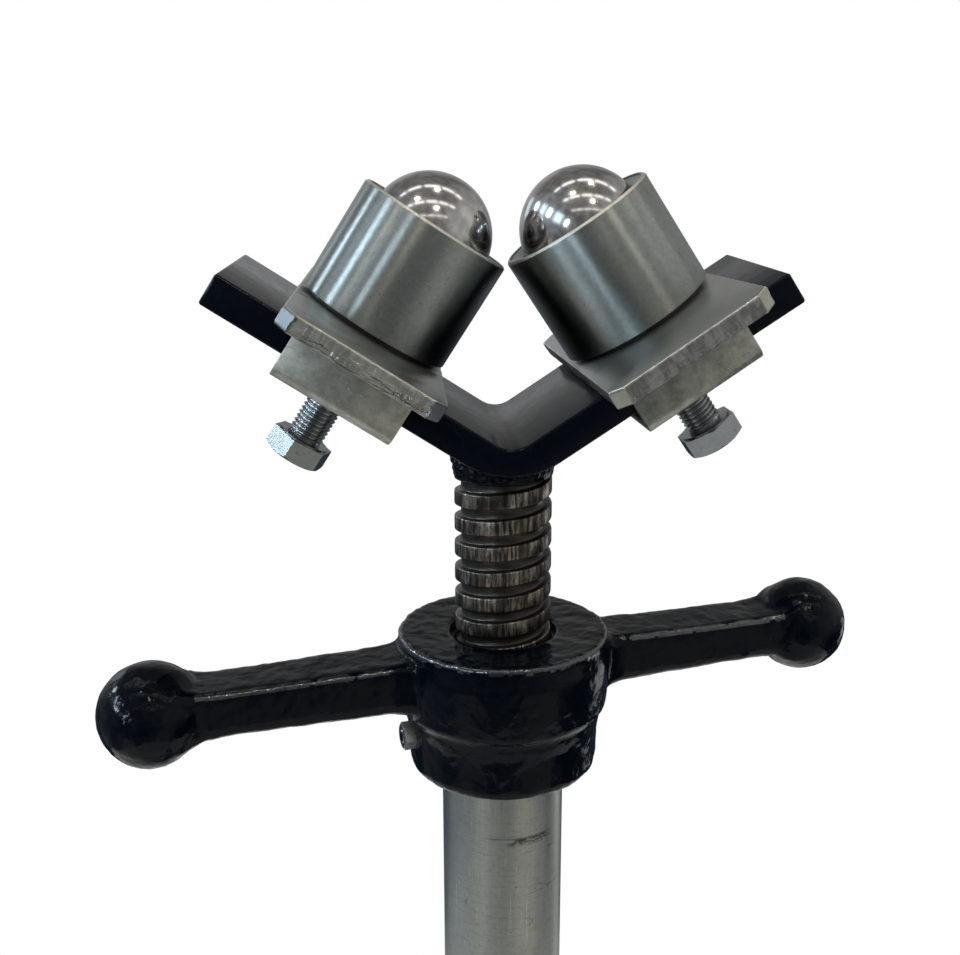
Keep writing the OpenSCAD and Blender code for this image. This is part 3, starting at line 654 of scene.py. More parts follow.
def oiled_screw():
    """Oily machined screw: worn streaks on the crests, dark turned grooves."""
    g = Graph("oiled_screw")
    crest = g.span(g.radius, CREST_R - 0.9, CREST_R - 0.15)
    streaks = g.wound(5, 0.72, 12.0, 0.0, 0.08)
    turned = g.wound(3, 0.6, 1.2, 0.0, 3.4)
    blocks = g.wound(2, 0.4, 4.5, 0.0, 0.06)
    grime = g.noise(2.6, 6, 0.75)
    worn = g.times(g.span(streaks, 0.40, 0.62), g.span(blocks, 0.38, 0.56, 0.22, 1.0))
    bare = g.mix(worn, (0.026, 0.021, 0.017), (0.30, 0.265, 0.22))
    groove = g.mix(turned, (0.018, 0.016, 0.014), (0.065, 0.058, 0.050))
    color = g.mix(crest, groove, bare)
    color = g.mix(g.span(grime, 0.52, 0.68, 0.0, 0.75), color, (0.012, 0.010, 0.009))
    bumps = [(turned, 0.07, 0.5), (streaks, 0.05, 0.4)]
    return g.surface(color, g.linear(grime, 0.25, 0.22), bumps, metallic=0.85)


def dark_bush():
    """Dirty, oily steel. On the cups' feet it is a dark sheet of painted shade."""
    g = Graph("dark_bush")
    grime = g.noise(2.0, 5, 0.7)
    color = g.mix(grime, (0.012, 0.011, 0.010), (0.04, 0.036, 0.032))
    return g.surface(color, g.linear(grime, 0.3, 0.2), [(grime, 0.15, 0.5)], metallic=0.6)


def worn_edge():
    """Bright, slightly yellow colour on edges: a painted highlight."""
    g = Graph("worn_edge")
    wear = g.noise(1.2, 4, 0.6)
    color = g.mix(wear, (0.36, 0.355, 0.31), (0.72, 0.71, 0.64))
    return g.surface(color, g.linear(wear, 0.15, 0.4), [(wear, 0.04, 0.4)])


def cut_corner(name, dark, light):
    """Corner cut off a plate, plated bright."""
    g = Graph(name)
    marks = g.noise(1.4, 4, 0.6)
    color = g.mix(g.noise(3, 3), dark, light)
    return g.surface(color, g.linear(marks, 0.15, 0.34), [(marks, 0.08, 0.4)])


def ring_steel():
    """Turned steel of the retaining rings and seats."""
    g = Graph("ring_steel")
    rings = g.wound(3, 0.6, 1.5, g.times(g.radius, 5.0), 0.0)
    color = g.mix(g.noise(5, 4, 0.6), (0.13, 0.135, 0.135), (0.26, 0.265, 0.26))
    return g.surface(color, g.linear(rings, 0.2, 0.24), [(rings, 0.04, 0.4)])


def foot_rubber():
    """Dusty black rubber."""
    g = Graph("foot_rubber")
    grain = g.noise(0.6, 3, 0.6)
    dust = g.span(g.noise(9, 5, 0.65), 0.5, 0.8)
    color = g.mix(dust, (0.012, 0.012, 0.012), (0.035, 0.034, 0.032))
    rough = g.linear(grain, 0.15, 0.6)
    return g.surface(color, rough, [(grain, 0.1, 0.5)], metallic=0.0, specular=0.4)


CAST = cast_enamel("cast_enamel", 0.10, (0.0005, 0.0019, 0.0046), 0.10)
# The ridge's copy is lighter and far more specular than the enamel: painted glints.
CAST_RIDGE_GLINT = cast_enamel("cast_enamel_ridge", 0.9, (0.006, 0.008, 0.013), 0.5)
BAR = bar_enamel()
LEG = leg_enamel()
TURNED = turned_zinc()
PLATE = plate_zinc()
SHEARED = {
    "left": sheared_zinc("sheared_pale", (0.26, 0.255, 0.225), (0.44, 0.435, 0.395), 1.0),
    "right": sheared_zinc("sheared_dark", (0.15, 0.148, 0.148), (0.37, 0.365, 0.355), 0.35),
}
CHANNEL = {
    "left": channel_zinc("channel_zinc_left", (0.31, 0.31, 0.275), (0.54, 0.53, 0.475)),
    "right": channel_zinc("channel_zinc_right", (0.24, 0.245, 0.215), (0.42, 0.42, 0.375)),
}
BRIGHT = bright_zinc()
POLISHED = polished_steel()
TUBE = drawn_tube()
SCREW = oiled_screw()
BUSH_AND_PAINTED_SHADE = dark_bush()
RING = ring_steel()
RUBBER = foot_rubber()
EDGE_HIGHLIGHT = worn_edge()
CUT = {
    "left": cut_corner("cut_blue", (0.12, 0.13, 0.14), (0.19, 0.205, 0.215)),
    "right": cut_corner("cut_yellow", (0.27, 0.27, 0.225), (0.43, 0.43, 0.36)),
}


# Handle nut

def hub_profile():
    """Closed outline of the nut and its sleeve, bored for the bush and the mast."""
    return (
        [(MOUTH_R, 0.3), (NUT_R - 2.4, 0.6)]
        + arc(NUT_R - 2.0, -1.6, 2.2, 80, 5, 5)
        + [(NUT_R + 1.8, -9), (NUT_R + 1.5, -16), (NUT_R + 0.9, -23)]
        + arc(NUT_R - 3.5, -27.0, 4.0, 10, -60, 4)
        + [(SLEEVE_R + 1.4, -36.0), (SLEEVE_R + 0.9, -38.5), (SLEEVE_R + 0.6, -44)]
        + arc(SLEEVE_R - 3.8, -51.2, 4.2, 0, -85, 5)
        + [(MAST_R + 1.5, -NUT_H), (MAST_R + 0.25, -NUT_H + 1.2), (MAST_R + 0.25, -MAST_SEAT),
           (BUSH_R, -MAST_SEAT), (BUSH_R, -3), (MOUTH_R, -2.6), (MOUTH_R, 0.3)]
    )


def arm_section(x, half_w, half_h):
    """Ring of the handle arm: nearly square, with its edges broken and its underside rounder."""
    outline = [
        (-0.76, 1.0), (0.76, 1.0), (0.93, 0.88), (1.0, 0.66), (1.0, -0.45), (0.93, -0.78),
        (0.70, -1.0), (-0.70, -1.0), (-0.93, -0.78), (-1.0, -0.45), (-1.0, 0.66), (-0.93, 0.88),
    ]
    return [(x, y * half_w, z * half_h) for y, z in outline]


def ridge(point):
    """Raised line left by the mould along the arms' upper edges and round the nut's rim."""
    if abs(point.x) < NUT_R + 3:
        away = math.hypot(math.hypot(point.x, point.y) - NUT_R + 0.3, point.z + 0.6)
    elif abs(point.x) < BALL_END_REACH - 15:
        away = math.hypot(abs(point.y) - RIDGE_Y, point.z + ARM_DROP - RIDGE_Z)
    else:
        return 0.0
    uneven = 0.75 + 0.6 * noise.noise(point / 4.0)
    return RIDGE_H * math.exp(-(away / RIDGE_SPREAD) ** 2) * uneven


def cast_bump(point):
    """Height of the sand casting's surface over its true form."""
    lumps = noise.fractal(point / 9.0, 0.9, 2.0, 2, noise_basis="PERLIN_NEW")
    spot = point / 2.7 + Vector((7, 3, 1))
    grain = noise.fractal(spot, 1.0, 2.0, 2, noise_basis="PERLIN_NEW")
    return 0.30 * lumps + 0.10 * grain


def handle_casting():
    """Nut, sleeve, arms and ball ends fused into one skin, then roughened outside the bores."""
    bm = bmesh.new()
    points, faces = lathe(hub_profile(), 96)
    verts = [bm.verts.new(p) for p in points]
    for face in faces:
        bm.faces.new([verts[i] for i in face])
    for turn in (0, math.pi):
        spin = Matrix.Rotation(turn, 4, "Z") @ Matrix.Translation((0, 0, -ARM_DROP))
        before = set(bm.verts)
        add_loft(bm, [[bm.verts.new(p) for p in arm_section(*s)] for s in ARM_STATIONS])
        bmesh.ops.create_uvsphere(
            bm, u_segments=48, v_segments=32, radius=BALL_END_R + BALL_END_SWELL,
            matrix=Matrix.Translation((BALL_END_REACH, 0, 0)),
        )
        bmesh.ops.transform(bm, matrix=spin, verts=[v for v in bm.verts if v not in before])
    bmesh.ops.remove_doubles(bm, verts=bm.verts, dist=0.001)
    bmesh.ops.recalc_face_normals(bm, faces=bm.faces)
    obj = from_bmesh("handle_casting", bm, [CAST, CAST_RIDGE_GLINT], 180)
    remesh = obj.modifiers.new("cast", "REMESH")
    remesh.mode = "VOXEL"
    remesh.voxel_size = CASTING_VOXEL * MM
    soften = obj.modifiers.new("soften", "SMOOTH")
    soften.factor = 0.5
    soften.iterations = 6
    apply_modifiers(obj)
    normals = [vert.normal.copy() for vert in obj.data.vertices]
    for vert, normal in zip(obj.data.vertices, normals):
        point = vert.co / MM
        radius = math.hypot(point.x, point.y)
        in_mast_bore = radius < MAST_R + 1.5 and point.z < 1 - MAST_SEAT
        if radius > BUSH_R and not in_mast_bore:
            vert.co += normal * (cast_bump(point) + ridge(point)) * MM
    for face in obj.data.polygons:
        face.use_smooth = True
        # Faces high on the ridge take the lighter, specular copy: painted glints.
        face.material_index = 1 if ridge(face.center / MM) > RIDGE_GLINT_H else 0
    matrix = Matrix.Translation((0, 0, NUT_TOP * MM)) @ Matrix.Rotation(HANDLE_ANGLE, 4, "Z")
    place(obj, "handle", ["handle_nut"], matrix)


def set_screw():
    """Hex socket set screw in its lock nut, on the left of the sleeve."""
    matrix = (
        Matrix.Translation((0, 0, (NUT_TOP - SET_DROP) * MM))
        @ Matrix.Rotation(HANDLE_ANGLE, 4, "Z")
        @ Matrix.Rotation(-math.pi / 2, 4, "Y")
    )
    inner, outer = MAST_R - 1.0, SLEEVE_R + 5.2
    thread = helix([
        (SET_ROOT, 0.0), (SET_ROOT, 0.1), (SET_R, 0.42), (SET_R, 0.58), (SET_ROOT, 0.9),
        (SET_ROOT, 1.0),
    ], inner + 0.6, outer - inner - 1.6, 1.0, 32)
    core = lathe([
        (0.01, inner), (2.0, inner), (SET_ROOT, inner + 0.6), (SET_ROOT, outer - 0.9),
        (2.75, outer - 0.4), (2.3, outer), (SET_SOCKET_R, outer),
    ], 32)
    floor = outer - SET_SOCKET_DEPTH
    socket, walls = lathe([(SET_SOCKET_R, outer - 0.02), (SET_SOCKET_R, floor)], 6)
    walls.append(tuple(range(6, 12)))
    points, faces = join_skins(thread, core, (socket, walls))
    screw = make_object("set_screw", points, faces, [BRIGHT], 35)
    place(screw, "handle", ["retaining_screw"], matrix)
    points, faces = hex_body(LOCK_AF, LOCK_H, both=True, bore=SET_R)
    points = [(x, y, z + SLEEVE_R) for x, y, z in points]
    nut = make_object("lock_nut", points, faces, [BRIGHT], 30)
    place(nut, "handle", ["retaining_locknut"], matrix)


# Jack screw, weld and V bar

def screw_thread():
    """Square thread with worn edges, and the core inside it."""
    half = CREST_W / 2
    flank = [
        (CREST_R, half - 0.5), (CREST_R - 0.12, half - 0.12), (CREST_R - 0.5, half + 0.12),
        (ROOT_R + 0.25, half + 0.35), (ROOT_R, half + 0.75), (ROOT_R, PITCH / 2),
    ]
    profile = [(r, -z) for r, z in reversed(flank)] + flank
    top = COLLAR_TOP - 0.2
    thread = helix(profile, RIDGE_START, (top - 3 - RIDGE_START) / PITCH, PITCH, 96)
    core = lathe([
        (ROOT_R - 1.5, NUT_TOP - SCREW_BELOW), (ROOT_R - 0.05, NUT_TOP - SCREW_BELOW + 1.5),
        (ROOT_R - 0.05, top - 8.5),
    ], 96)
    obj = make_object("jack_screw_thread", *join_skins(thread, core), [SCREW], 50)
    place(obj, "jack", ["jack_screw"])


def weld():
    """Painted collar and weld between the screw and the bar."""
    rough_profile = [
        # radius and height above the collar's top
        (ROOT_R, -9.2), (CREST_R - 0.3, -8.9), (CREST_R + 0.35, -8.2), (CREST_R + 0.5, -6.0),
        (CREST_R + 0.6, -4.5), (CREST_R + 1.0, -3.6), (CREST_R + 1.5, -2.2), (CREST_R + 1.2, -0.8),
        (CREST_R + 1.5, 0.6), (CREST_R + 2.3, 2.6), (CREST_R + 2.6, 5.0), (CREST_R + 1.0, 8.0),
        (0.01, 8.0),
    ]
    profile = [(r, COLLAR_TOP + z) for r, z in rough_profile]
    fine = []
    for (r0, z0), (r1, z1) in zip(profile, profile[1:]):
        steps = max(1, round(math.hypot(r1 - r0, z1 - z0) / 0.4)) if r1 > 1 else 1
        fine += [(r0 + (r1 - r0) * k / steps, z0 + (z1 - z0) * k / steps) for k in range(steps)]
    points, faces = lathe(fine + [profile[-1]], 220)
    moved = []
    for x, y, z in points:
        radius, angle = math.hypot(x, y), math.atan2(y, x)
        under = APEX_Z - BAR_T / math.cos(ARM_ANGLE) + abs(x) * math.tan(ARM_ANGLE)
        above = z - COLLAR_TOP
        ripple = math.sin(angle * 26 + 2.5 * math.sin(z * 0.8)) * 0.22 * clamp((above + 6) / 4)
        lump = noise.fractal(Vector((x, y, z)) / 2.4, 0.9, 2.0, 3) * 0.55
        lump *= clamp((above + 8.6) / 2.5)
        grow = (radius + ripple + lump) / radius if radius > 10 else 1.0
        moved.append((x * grow, y * grow, min(z, under + 0.6)))
    obj = make_object("weld_bead_painted", moved, faces, [CAST], 60)
    place(obj, "jack", ["weld_bead"])


def bar_outline():
    """Outline of the bent bar in X and Z, clockwise from the left tip's underside."""
    cos, sin = math.cos(ARM_ANGLE), math.sin(ARM_ANGLE)
    degrees = math.degrees(ARM_ANGLE)

    def tip(side, down):
        sign, s = SIDES[side], ARM_LENGTH[side]
        return (sign * (s * cos + down * sin), APEX_Z + s * sin - down * cos)

    inner_z = APEX_Z + BEND_IN_R / cos
    outer_z = APEX_Z + (BEND_OUT_R - BAR_T) / cos
    return (
        [tip("left", BAR_T), tip("left", 0)]
        + arc(0, inner_z, BEND_IN_R, 270 - degrees, 270 + degrees, 14)
        + [tip("right", 0), tip("right", BAR_T)]
        + arc(0, outer_z, BEND_OUT_R, 270 + degrees, 270 - degrees, 18)
    )


def v_bar():
    """Flat bar bent into a V, with its edges broken."""
    bm = prism_bmesh(bar_outline(), -BAR_W / 2, BAR_W / 2, lambda x, z, y: (x, y, z))
    bevel_bmesh(bm, 1.0, 3, 30)
    obj = from_bmesh("v_bar_painted", bm, [BAR], 30)
    place(obj, "jack", ["v_bar"], lean_matrix())


# Clamp units

def plate_outline():
    """Points every half millimetre round the plate.

    Each comes with its outward direction, its straight's length and how far along that it is.
    """
    half_l, half_w, c = PLATE_L / 2, PLATE_W / 2, PLATE_CHAMFER
    corners = [
        (half_l - c, -half_w), (half_l, c - half_w), (half_l, half_w - c), (half_l - c, half_w),
        (c - half_l, half_w), (-half_l, half_w - c), (-half_l, c - half_w), (c - half_l, -half_w),
    ]
    outline = []
    for k, start in enumerate(corners):
        end = corners[(k + 1) % len(corners)]
        run = Vector(end) - Vector(start)
        out = Vector((run.y, -run.x)).normalized()
        steps = max(6, round(run.length / 0.5))
        for j in range(steps):
            point = Vector(start) + run * j / steps
            outline.append((point, out, run.length, run.length * j / steps))
    return outline


def sheared_depth(out, length, s, z, side):
    """How far the sheared wall stands in from the plate's outline, at a height z above its foot."""
    seed = SHEAR_SEED[side] + 9 * out.x + 5 * out.y
    if length < 2 * PLATE_CHAMFER:
        return 0.05 * noise.noise(Vector((s, z, seed)))
    drag = noise.noise(Vector((s * 1.3, z * 0.25, seed)))
    broken = clamp((3.8 + 1.2 * noise.noise(Vector((s * 0.12, 3.1, seed))) - z) / 0.7)
    tear = noise.fractal(Vector((s * 0.10, z * 0.9, seed + 4.0)), 0.8, 2.0, 3)
    depth = 0.16 * drag + 0.05 + broken * (0.25 + 0.22 * drag)
    return depth + SHEAR_TEAR[side] * 0.55 * max(0.0, tear - 0.1)


def clamp_plate(side):
    """Plate with sheared walls and rounded upper edges that carry a painted highlight."""
    outline = plate_outline()
    height = PLATE_HIGH - PLATE_LOW
    levels = [0.0, 0.25, EDGE_H]
    levels += [EDGE_H + (height - 2 * EDGE_H) * k / 11 for k in range(1, 11)]
    levels += [height - EDGE_H, height - 0.2, height]
    points = []
    for level in levels:
        lower, upper = max(0.0, 1 - level / EDGE_H), max(0.0, 1 - (height - level) / EDGE_H)
        edge = 0.42 * lower ** 2 + 0.45 * upper ** 2
        for point, out, length, s in outline:
            spot = point - out * (edge + sheared_depth(out, length, s, level, side))
            points.append((spot.x, spot.y, PLATE_LOW + level))
    count = len(outline)
    faces = ring_faces(len(levels), count)
    faces.append(tuple(range(count))[::-1])
    faces.append(tuple(range(len(points) - count, len(points))))
    materials = [PLATE, SHEARED[side], CUT[side], EDGE_HIGHLIGHT]
    obj = make_object(f"clamp_plate_{side}_sheared", points, faces, materials, 42)
    for face in obj.data.polygons:
        if len(face.vertices) > 4:
            continue
        middle = face.center / MM
        inset = PLATE_L / 2 - abs(middle.x) + PLATE_W / 2 - abs(middle.y)
        corner = inset < PLATE_CHAMFER + 0.8
        # Faces along the top edge get the bright edge colour, a painted highlight
        worn = middle.z > PLATE_HIGH - 0.35
        face.material_index = 3 if worn else 2 if corner else 1
    place(obj, f"unit_{side}", [f"clamp_plate_{side}"], unit_matrix(side))


def channel_outline():
    """Bent strip round the bar, in Y and Z."""
    r_out, r_in = CHANNEL_OUT_R, CHANNEL_IN_R
    half, low, top = CHANNEL_HALF, CHANNEL_LOW, PLATE_LOW
    inner = half - CHANNEL_T
    floor = low + CHANNEL_T
    return (
        [(-half, top)]
        + arc(-half + r_out, low + r_out, r_out, 180, 270, 8)
        + arc(half - r_out, low + r_out, r_out, 270, 360, 8)
        + [(half, top), (inner, top)]
        + arc(inner - r_in, floor + r_in, r_in, 0, -90, 5)
        + arc(-inner + r_in, floor + r_in, r_in, -90, -180, 5)
        + [(-inner, top)]
    )


def clamp_channel(side):
    """Channel bent from strip, under the bar."""
    half = CHANNEL_L / 2
    bm = prism_bmesh(channel_outline(), -half, half, lambda y, z, x: (x, y, z))
    bevel_bmesh(bm, 0.5, 2, 50)
    obj = from_bmesh(f"clamp_channel_{side}_bent", bm, [CHANNEL[side]], 30)
    place(obj, f"unit_{side}", [f"clamp_channel_{side}"], unit_matrix(side))


def clamp_bolt(side):
    """Bolt with a rolled helical thread, a washer face and a chamfered hex head."""
    root = BOLT_R - BOLT_THREAD
    low = BOLT_HEAD_TOP + 0.4
    thread = helix([
        (root, 0.0), (root, 0.2), (BOLT_R - 0.1, 0.72), (BOLT_R, 0.82), (BOLT_R, 0.93),
        (BOLT_R - 0.1, 1.03), (root, 1.55), (root, BOLT_PITCH),
    ], low - 0.6, (BOLT_TIP - low - 1.6) / BOLT_PITCH, BOLT_PITCH, 48)
    core = lathe([
        (BOLT_R - 0.4, BOLT_HEAD_TOP), (BOLT_R - 0.4, low), (root - 0.02, low + 0.8),
        (root - 0.02, BOLT_TIP - 1.2), (root - 0.6, BOLT_TIP - 0.2), (root - 1.0, BOLT_TIP),
        (0.01, BOLT_TIP),
    ], 48)
    washer = lathe([
        (0.01, BOLT_HEAD_TOP), (WASHER_R - 0.2, BOLT_HEAD_TOP), (WASHER_R, BOLT_HEAD_TOP - 0.2),
        (WASHER_R, BOLT_HEAD_TOP - BOLT_WASHER),
    ], 72)
    head, head_faces = hex_body(BOLT_AF, BOLT_HEAD_H)
    base = BOLT_HEAD_TOP - BOLT_WASHER - BOLT_HEAD_H
    cos, sin = math.cos(BOLT_TURN[side]), math.sin(BOLT_TURN[side])
    head = [(x * cos - y * sin, x * sin + y * cos, z + base) for x, y, z in head]
    points, faces = join_skins(thread, core, washer, (head, head_faces))
    obj = make_object(f"clamp_bolt_{side}_threaded", points, faces, [BRIGHT], 28)
    place(obj, f"bolt_{side}", [f"clamp_bolt_{side}"], unit_matrix(side))


def cup_housing(side):
    """Turned cup with a broken lower edge and a chamfered rim, its foot painted dark as shade."""
    foot = CUP_BASE - CUP_FOOT_H
    points, faces = lathe([
        (4.0, foot), (CUP_FOOT_R, foot), (CUP_FOOT_R, CUP_BASE),
        (CUP_R - 0.45, CUP_BASE), (CUP_R - 0.12, CUP_BASE + 0.15), (CUP_R, CUP_BASE + 0.5),
        (CUP_R, CUP_TOP - 1.1), (CUP_R - 0.1, CUP_TOP - 0.8), (CUP_R - 0.85, CUP_TOP - 0.08),
        (CUP_R - 1.1, CUP_TOP), (CUP_MOUTH_R + 0.1, CUP_TOP), (CUP_MOUTH_R, CUP_TOP - 0.12),
        (CUP_MOUTH_R, CUP_TOP - 6),
    ], 192)
    obj = make_object(f"cup_{side}_turned", points, faces, [TURNED, EDGE_HIGHLIGHT, BUSH_AND_PAINTED_SHADE], 25)
    for face in obj.data.polygons:
        x, y, z = face.center / MM
        # The rim's outer chamfer gets the bright edge colour, a painted highlight
        rim = z > CUP_TOP - 0.9 and math.hypot(x, y) > CUP_R - 1.2
        # Faces below the cup's base, on its foot, get the dark steel as painted shade
        face.material_index = 1 if rim else 2 if z < CUP_BASE else 0
    place(obj, f"unit_{side}", [f"cup_{side}"], unit_matrix(side))


def cup_ring(side):
    """Retaining ring round the ball, dished towards it, with one prising notch."""
    top = CUP_TOP - RING_DROP
    hole = math.sqrt((BALL_R + 0.35) ** 2 - (top - 1.4 - BALL_Z) ** 2)
    points, faces = lathe([
        (CUP_MOUTH_R - 0.05, top - 5), (CUP_MOUTH_R - 0.05, top - 0.2), (CUP_MOUTH_R - 0.3, top),
        (hole + 2.2, top - 0.15), (hole + 0.35, top - 1.1), (hole, top - 1.4),
        (hole + 0.9, top - 4.6),
    ], 192)
    cut = []
    for x, y, z in points:
        radius, angle = math.hypot(x, y), math.atan2(y, x)
        near = abs((angle - NOTCH_ANGLE + math.pi) % math.tau - math.pi) < 0.035
        if near and radius < hole + 1.0:
            x, y = x * (hole + 1.9) / radius, y * (hole + 1.9) / radius
        cut.append((x, y, z))
    obj = make_object(f"cup_{side}_ring", cut, faces, [RING], 30)
    place(obj, f"unit_{side}", [f"retaining_ring_{side}"], unit_matrix(side))


def main_ball(side):
    """Ball, kept upright so that its box is no taller than it is."""
    bm = bmesh.new()
    bmesh.ops.create_icosphere(bm, subdivisions=6, radius=BALL_R - 0.01)
    obj = from_bmesh(f"main_ball_{side}_polished", bm, [POLISHED], 180)
    center = Matrix.Translation(unit_matrix(side) @ Vector((0, 0, BALL_Z * MM)))
    place(obj, f"ball_{side}", [f"main_ball_{side}"], center)


handle_casting()
set_screw()
screw_thread()
weld()
v_bar()
for unit in SIDES:
    clamp_plate(unit)
    clamp_channel(unit)
    clamp_bolt(unit)
    cup_housing(unit)
    cup_ring(unit)
    main_ball(unit)


# CAD nodes that show as they are, and their materials

node_looks = {
    "mast_tube": TUBE, "thread_bush": BUSH_AND_PAINTED_SHADE, "guide_ring": SCREW, "outer_tube": LEG,
    "leg_brackets": LEG, "pivot_bolts": BRIGHT, "pivot_nuts": BRIGHT, "height_pin": BRIGHT,
}
for unit in SIDES:
    node_looks[f"ball_seat_{unit}"] = RING
    node_looks[f"bearing_balls_{unit}"] = POLISHED
    node_looks[f"cup_screw_{unit}"] = BRIGHT
for corner in ("front_left", "front_right", "rear_left", "rear_right"):
    node_looks[f"leg_{corner}"] = LEG
    node_looks[f"foot_{corner}"] = RUBBER
    bevel(NODES[f"leg_{corner}"], 1.2)
    bevel(NODES[f"foot_{corner}"], 1.5)
for node, look in node_looks.items():
    slots = NODES[node].data.materials
    slots.clear()
    slots.append(look)


# Camera, at the photograph's place: found by fitting the outlines of the sizes above

CAMERA_SPOT = (-0.03705, -0.43633, NUT_TOP * MM + 0.17931)
CAMERA_YAW = 0.0648
CAMERA_PITCH = 0.264
CAMERA_ROLL = -0.003
CAMERA_LENS = 45.08
CAMERA_SENSOR = 36.0


def set_camera():
    data = bpy.data.cameras.new("camera")
    data.sensor_width = CAMERA_SENSOR
    data.lens = CAMERA_LENS
    data.clip_start = 0.02
    data.clip_end = 50.0
    obj = link_object("camera", data)
    obj.matrix_world = (
        Matrix.Translation(CAMERA_SPOT)
        @ Matrix.Rotation(-CAMERA_YAW, 4, "Z")
        @ Matrix.Rotation(math.pi / 2 - CAMERA_PITCH, 4, "X")
        @ Matrix.Rotation(CAMERA_ROLL, 4, "Z")
    )
    bpy.context.scene.camera = obj


# Surroundings: a workshop with windows on the left and strip lamps overhead

GLOWS = [
    # direction, half angle of the even part and of its soft edge in degrees, colour, strength
    ((-0.86, -0.10, 0.42), 25, 50, (0.70, 0.92, 1.18), 0.12),
    ((0.85, -0.40, 0.28), 12, 42, (1.0, 1.0, 0.97), 0.42),
    ((0.85, 0.30, 0.42), 12, 40, (1.0, 1.0, 0.98), 0.32),
    ((-0.45, 0.87, 0.16), 8, 38, (0.90, 0.97, 1.0), 0.12),
    ((0.82, 0.43, -0.34), 6, 13, (0.95, 0.99, 1.0), 2.1),
    ((0.50, -0.70, -0.50), 8, 25, (1.0, 0.98, 0.80), 0.46),
    ((-0.57, -0.53, -0.62), 5, 20, (1.0, 1.0, 0.95), 0.52),
    ((-0.84, 0.10, -0.52), 10, 30, (0.85, 0.97, 1.08), 0.30),
    ((-0.10, -0.99, -0.08), 4, 24, (1.0, 0.98, 0.95), -0.18),
    ((0.19, 0.05, 0.98), 1.0, 2.4, (1.0, 0.88, 0.70), 80.0),
    ((-0.29, -0.26, 0.92), 1.0, 2.4, (1.0, 0.88, 0.70), 80.0),
    ((0.20, -0.58, 0.79), 1.0, 2.4, (1.0, 0.88, 0.70), 80.0),
]
WINDOWS = [
    # direction, half width, half height and soft edge in degrees, strength
    ((-0.83, 0.40, 0.39), 1.6, 4, 2, 36.0),
    ((-0.883, -0.20, 0.424), 1.6, 4, 2, 54.0),
    ((-0.583, -0.78, 0.228), 1.0, 4, 1.6, 42.0),
    ((-0.766, -0.534, 0.352), 5, 5, 6, 3.0),
    ((-0.895, 0.08, 0.436), 3.5, 5, 5, 2.6),
    ((-0.60, 0.76, 0.24), 4, 5, 5, 1.6),
]
# The windows' long side lies along the left cup's axis
WINDOW_LONG = Vector((math.sin(ARM_ANGLE), 0.0, math.cos(ARM_ANGLE)))
WINDOW_COLOR = (0.70, 0.88, 1.0)
# Strip lamps hang in rows, as seen on a ceiling one unit up
STRIP_ROWS = (0.19, -0.46, -1.25)
STRIP_ENDS = (-0.7, 0.9)
LAMPS_PER_UNIT = 2.6
LAMP_SHIFT = 0.3
LAMP_ENDS = (0.14, 0.86)
STRIP_COLOR = (1.0, 0.99, 0.96)
STRIP_STRENGTH = 3.2
BEHIND_SHARE = 0.15
WHITE = (1.0, 1.0, 1.0)
FLOOR_R = 900.0
FLOOR_COLOR = (0.85, 0.85, 0.85, 1)


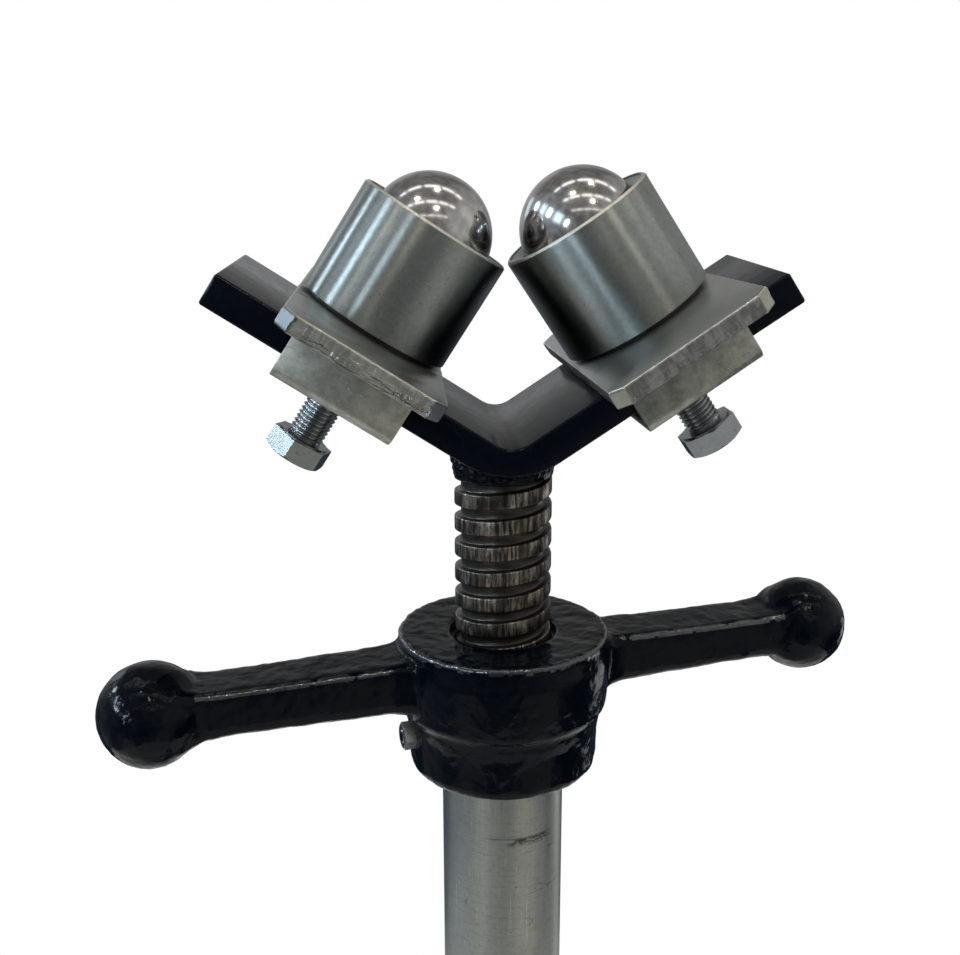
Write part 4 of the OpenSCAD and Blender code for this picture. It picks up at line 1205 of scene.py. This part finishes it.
def set_world():
    """The workshop. The camera sees plain white, and mirrored rays see a share of it behind."""
    g = Graph("workshop", world=True)
    bpy.context.scene.world = g.material
    x, y, z = g.x, g.y, g.z

    # Walls and ceiling over a ground, both mottled, and darker high up behind the object
    room = g.mix(g.span(z, -0.05, 0.45), (0.35, 0.36, 0.37), (0.385, 0.375, 0.36))
    ground = g.mix(g.span(y, -0.55, -0.15), (0.24, 0.245, 0.24), (0.035, 0.05, 0.075))
    clutter = g.span(g.noise(0.16, 3, 0.6), 0.35, 0.68, 0.50, 1.25)
    room = g.scale(g.mix(g.span(z, -0.30, -0.02, 1.0, 0.0), room, ground), clutter)
    dim = g.times(g.span(y, 0.25, 0.7), g.span(z, 0.30, 0.55, 0.0, 0.3))
    room = g.scale(room, g.rest(dim))

    # Soft glows, then windows
    for direction, clear, edge, color, strength in GLOWS:
        low, high = math.cos(math.radians(edge)), math.cos(math.radians(clear))
        inside = g.span(g.dot(Vector(direction).normalized()), low, high, 0.0, strength)
        room = g.add(room, g.tint(inside, color))
    for direction, half_width, half_height, soft, strength in WINDOWS:
        way = Vector(direction).normalized()
        tall = (WINDOW_LONG - WINDOW_LONG.dot(way) * way).normalized()
        inside = g.span(g.dot(way), 0.3, 0.5, 0.0, strength)
        for side, half in ((tall, half_height), (way.cross(tall), half_width)):
            low, high = math.sin(math.radians(half)), math.sin(math.radians(half + soft))
            inside = g.times(inside, g.band(g.dot(side), 0.0, low, high))
        room = g.add(room, g.tint(inside, WINDOW_COLOR))

    # Rows of strip lamps on the ceiling
    above = g.most(z, 0.05)
    across, depth = g.math("DIVIDE", x, above), g.math("DIVIDE", y, above)
    lamps = g.math("FRACT", g.linear(across, LAMPS_PER_UNIT, LAMP_SHIFT))
    lit = g.times(g.window(across, *STRIP_ENDS, 0.08), g.window(lamps, *LAMP_ENDS, 0.12))
    for row in STRIP_ROWS:
        strip = g.times(lit, g.window(depth, row - 0.02, row + 0.02, 0.06), STRIP_STRENGTH)
        room = g.add(room, g.tint(strip, STRIP_COLOR))

    # What the camera and the mirrored rays see
    ray = g.new("LightPath").outputs
    behind = g.times(g.span(y, 0.55, 0.95, 0.0, BEHIND_SHARE), g.span(z, -0.12, 0.02))
    mirrored = g.times(ray["Is Glossy Ray"], behind)
    plain = g.most(ray["Is Camera Ray"], ray["Is Transmission Ray"], mirrored)
    light = g.new("Background", {"Color": g.mix(plain, room, WHITE), "Strength": 1.0})
    g.put(g.output, {"Surface": light.outputs[0]})


def set_floor():
    """Pale floor that fades to the white background away from the object."""
    bm = bmesh.new()
    bmesh.ops.create_circle(bm, cap_ends=True, segments=96, radius=FLOOR_R * MM)
    mesh = bpy.data.meshes.new("floor")
    bm.to_mesh(mesh)
    bm.free()
    g = Graph("floor")
    fade = g.span(g.radius, FLOOR_R * 0.5, FLOOR_R * 0.97)
    ray = g.new("LightPath").outputs
    seen = g.most(ray["Is Camera Ray"], ray["Is Transmission Ray"], ray["Is Glossy Ray"])
    pale = g.new("BsdfDiffuse", {"Color": FLOOR_COLOR})
    white = g.new("Emission")
    mix = g.new("MixShader", {0: g.times(fade, seen), 1: pale.outputs[0], 2: white.outputs[0]})
    g.put(g.output, {"Surface": mix.outputs[0]})
    mesh.materials.append(g.material)
    obj = link_object("floor", mesh)


set_camera()
set_world()
set_floor()
bpy.context.scene.view_settings.view_transform = "Standard"
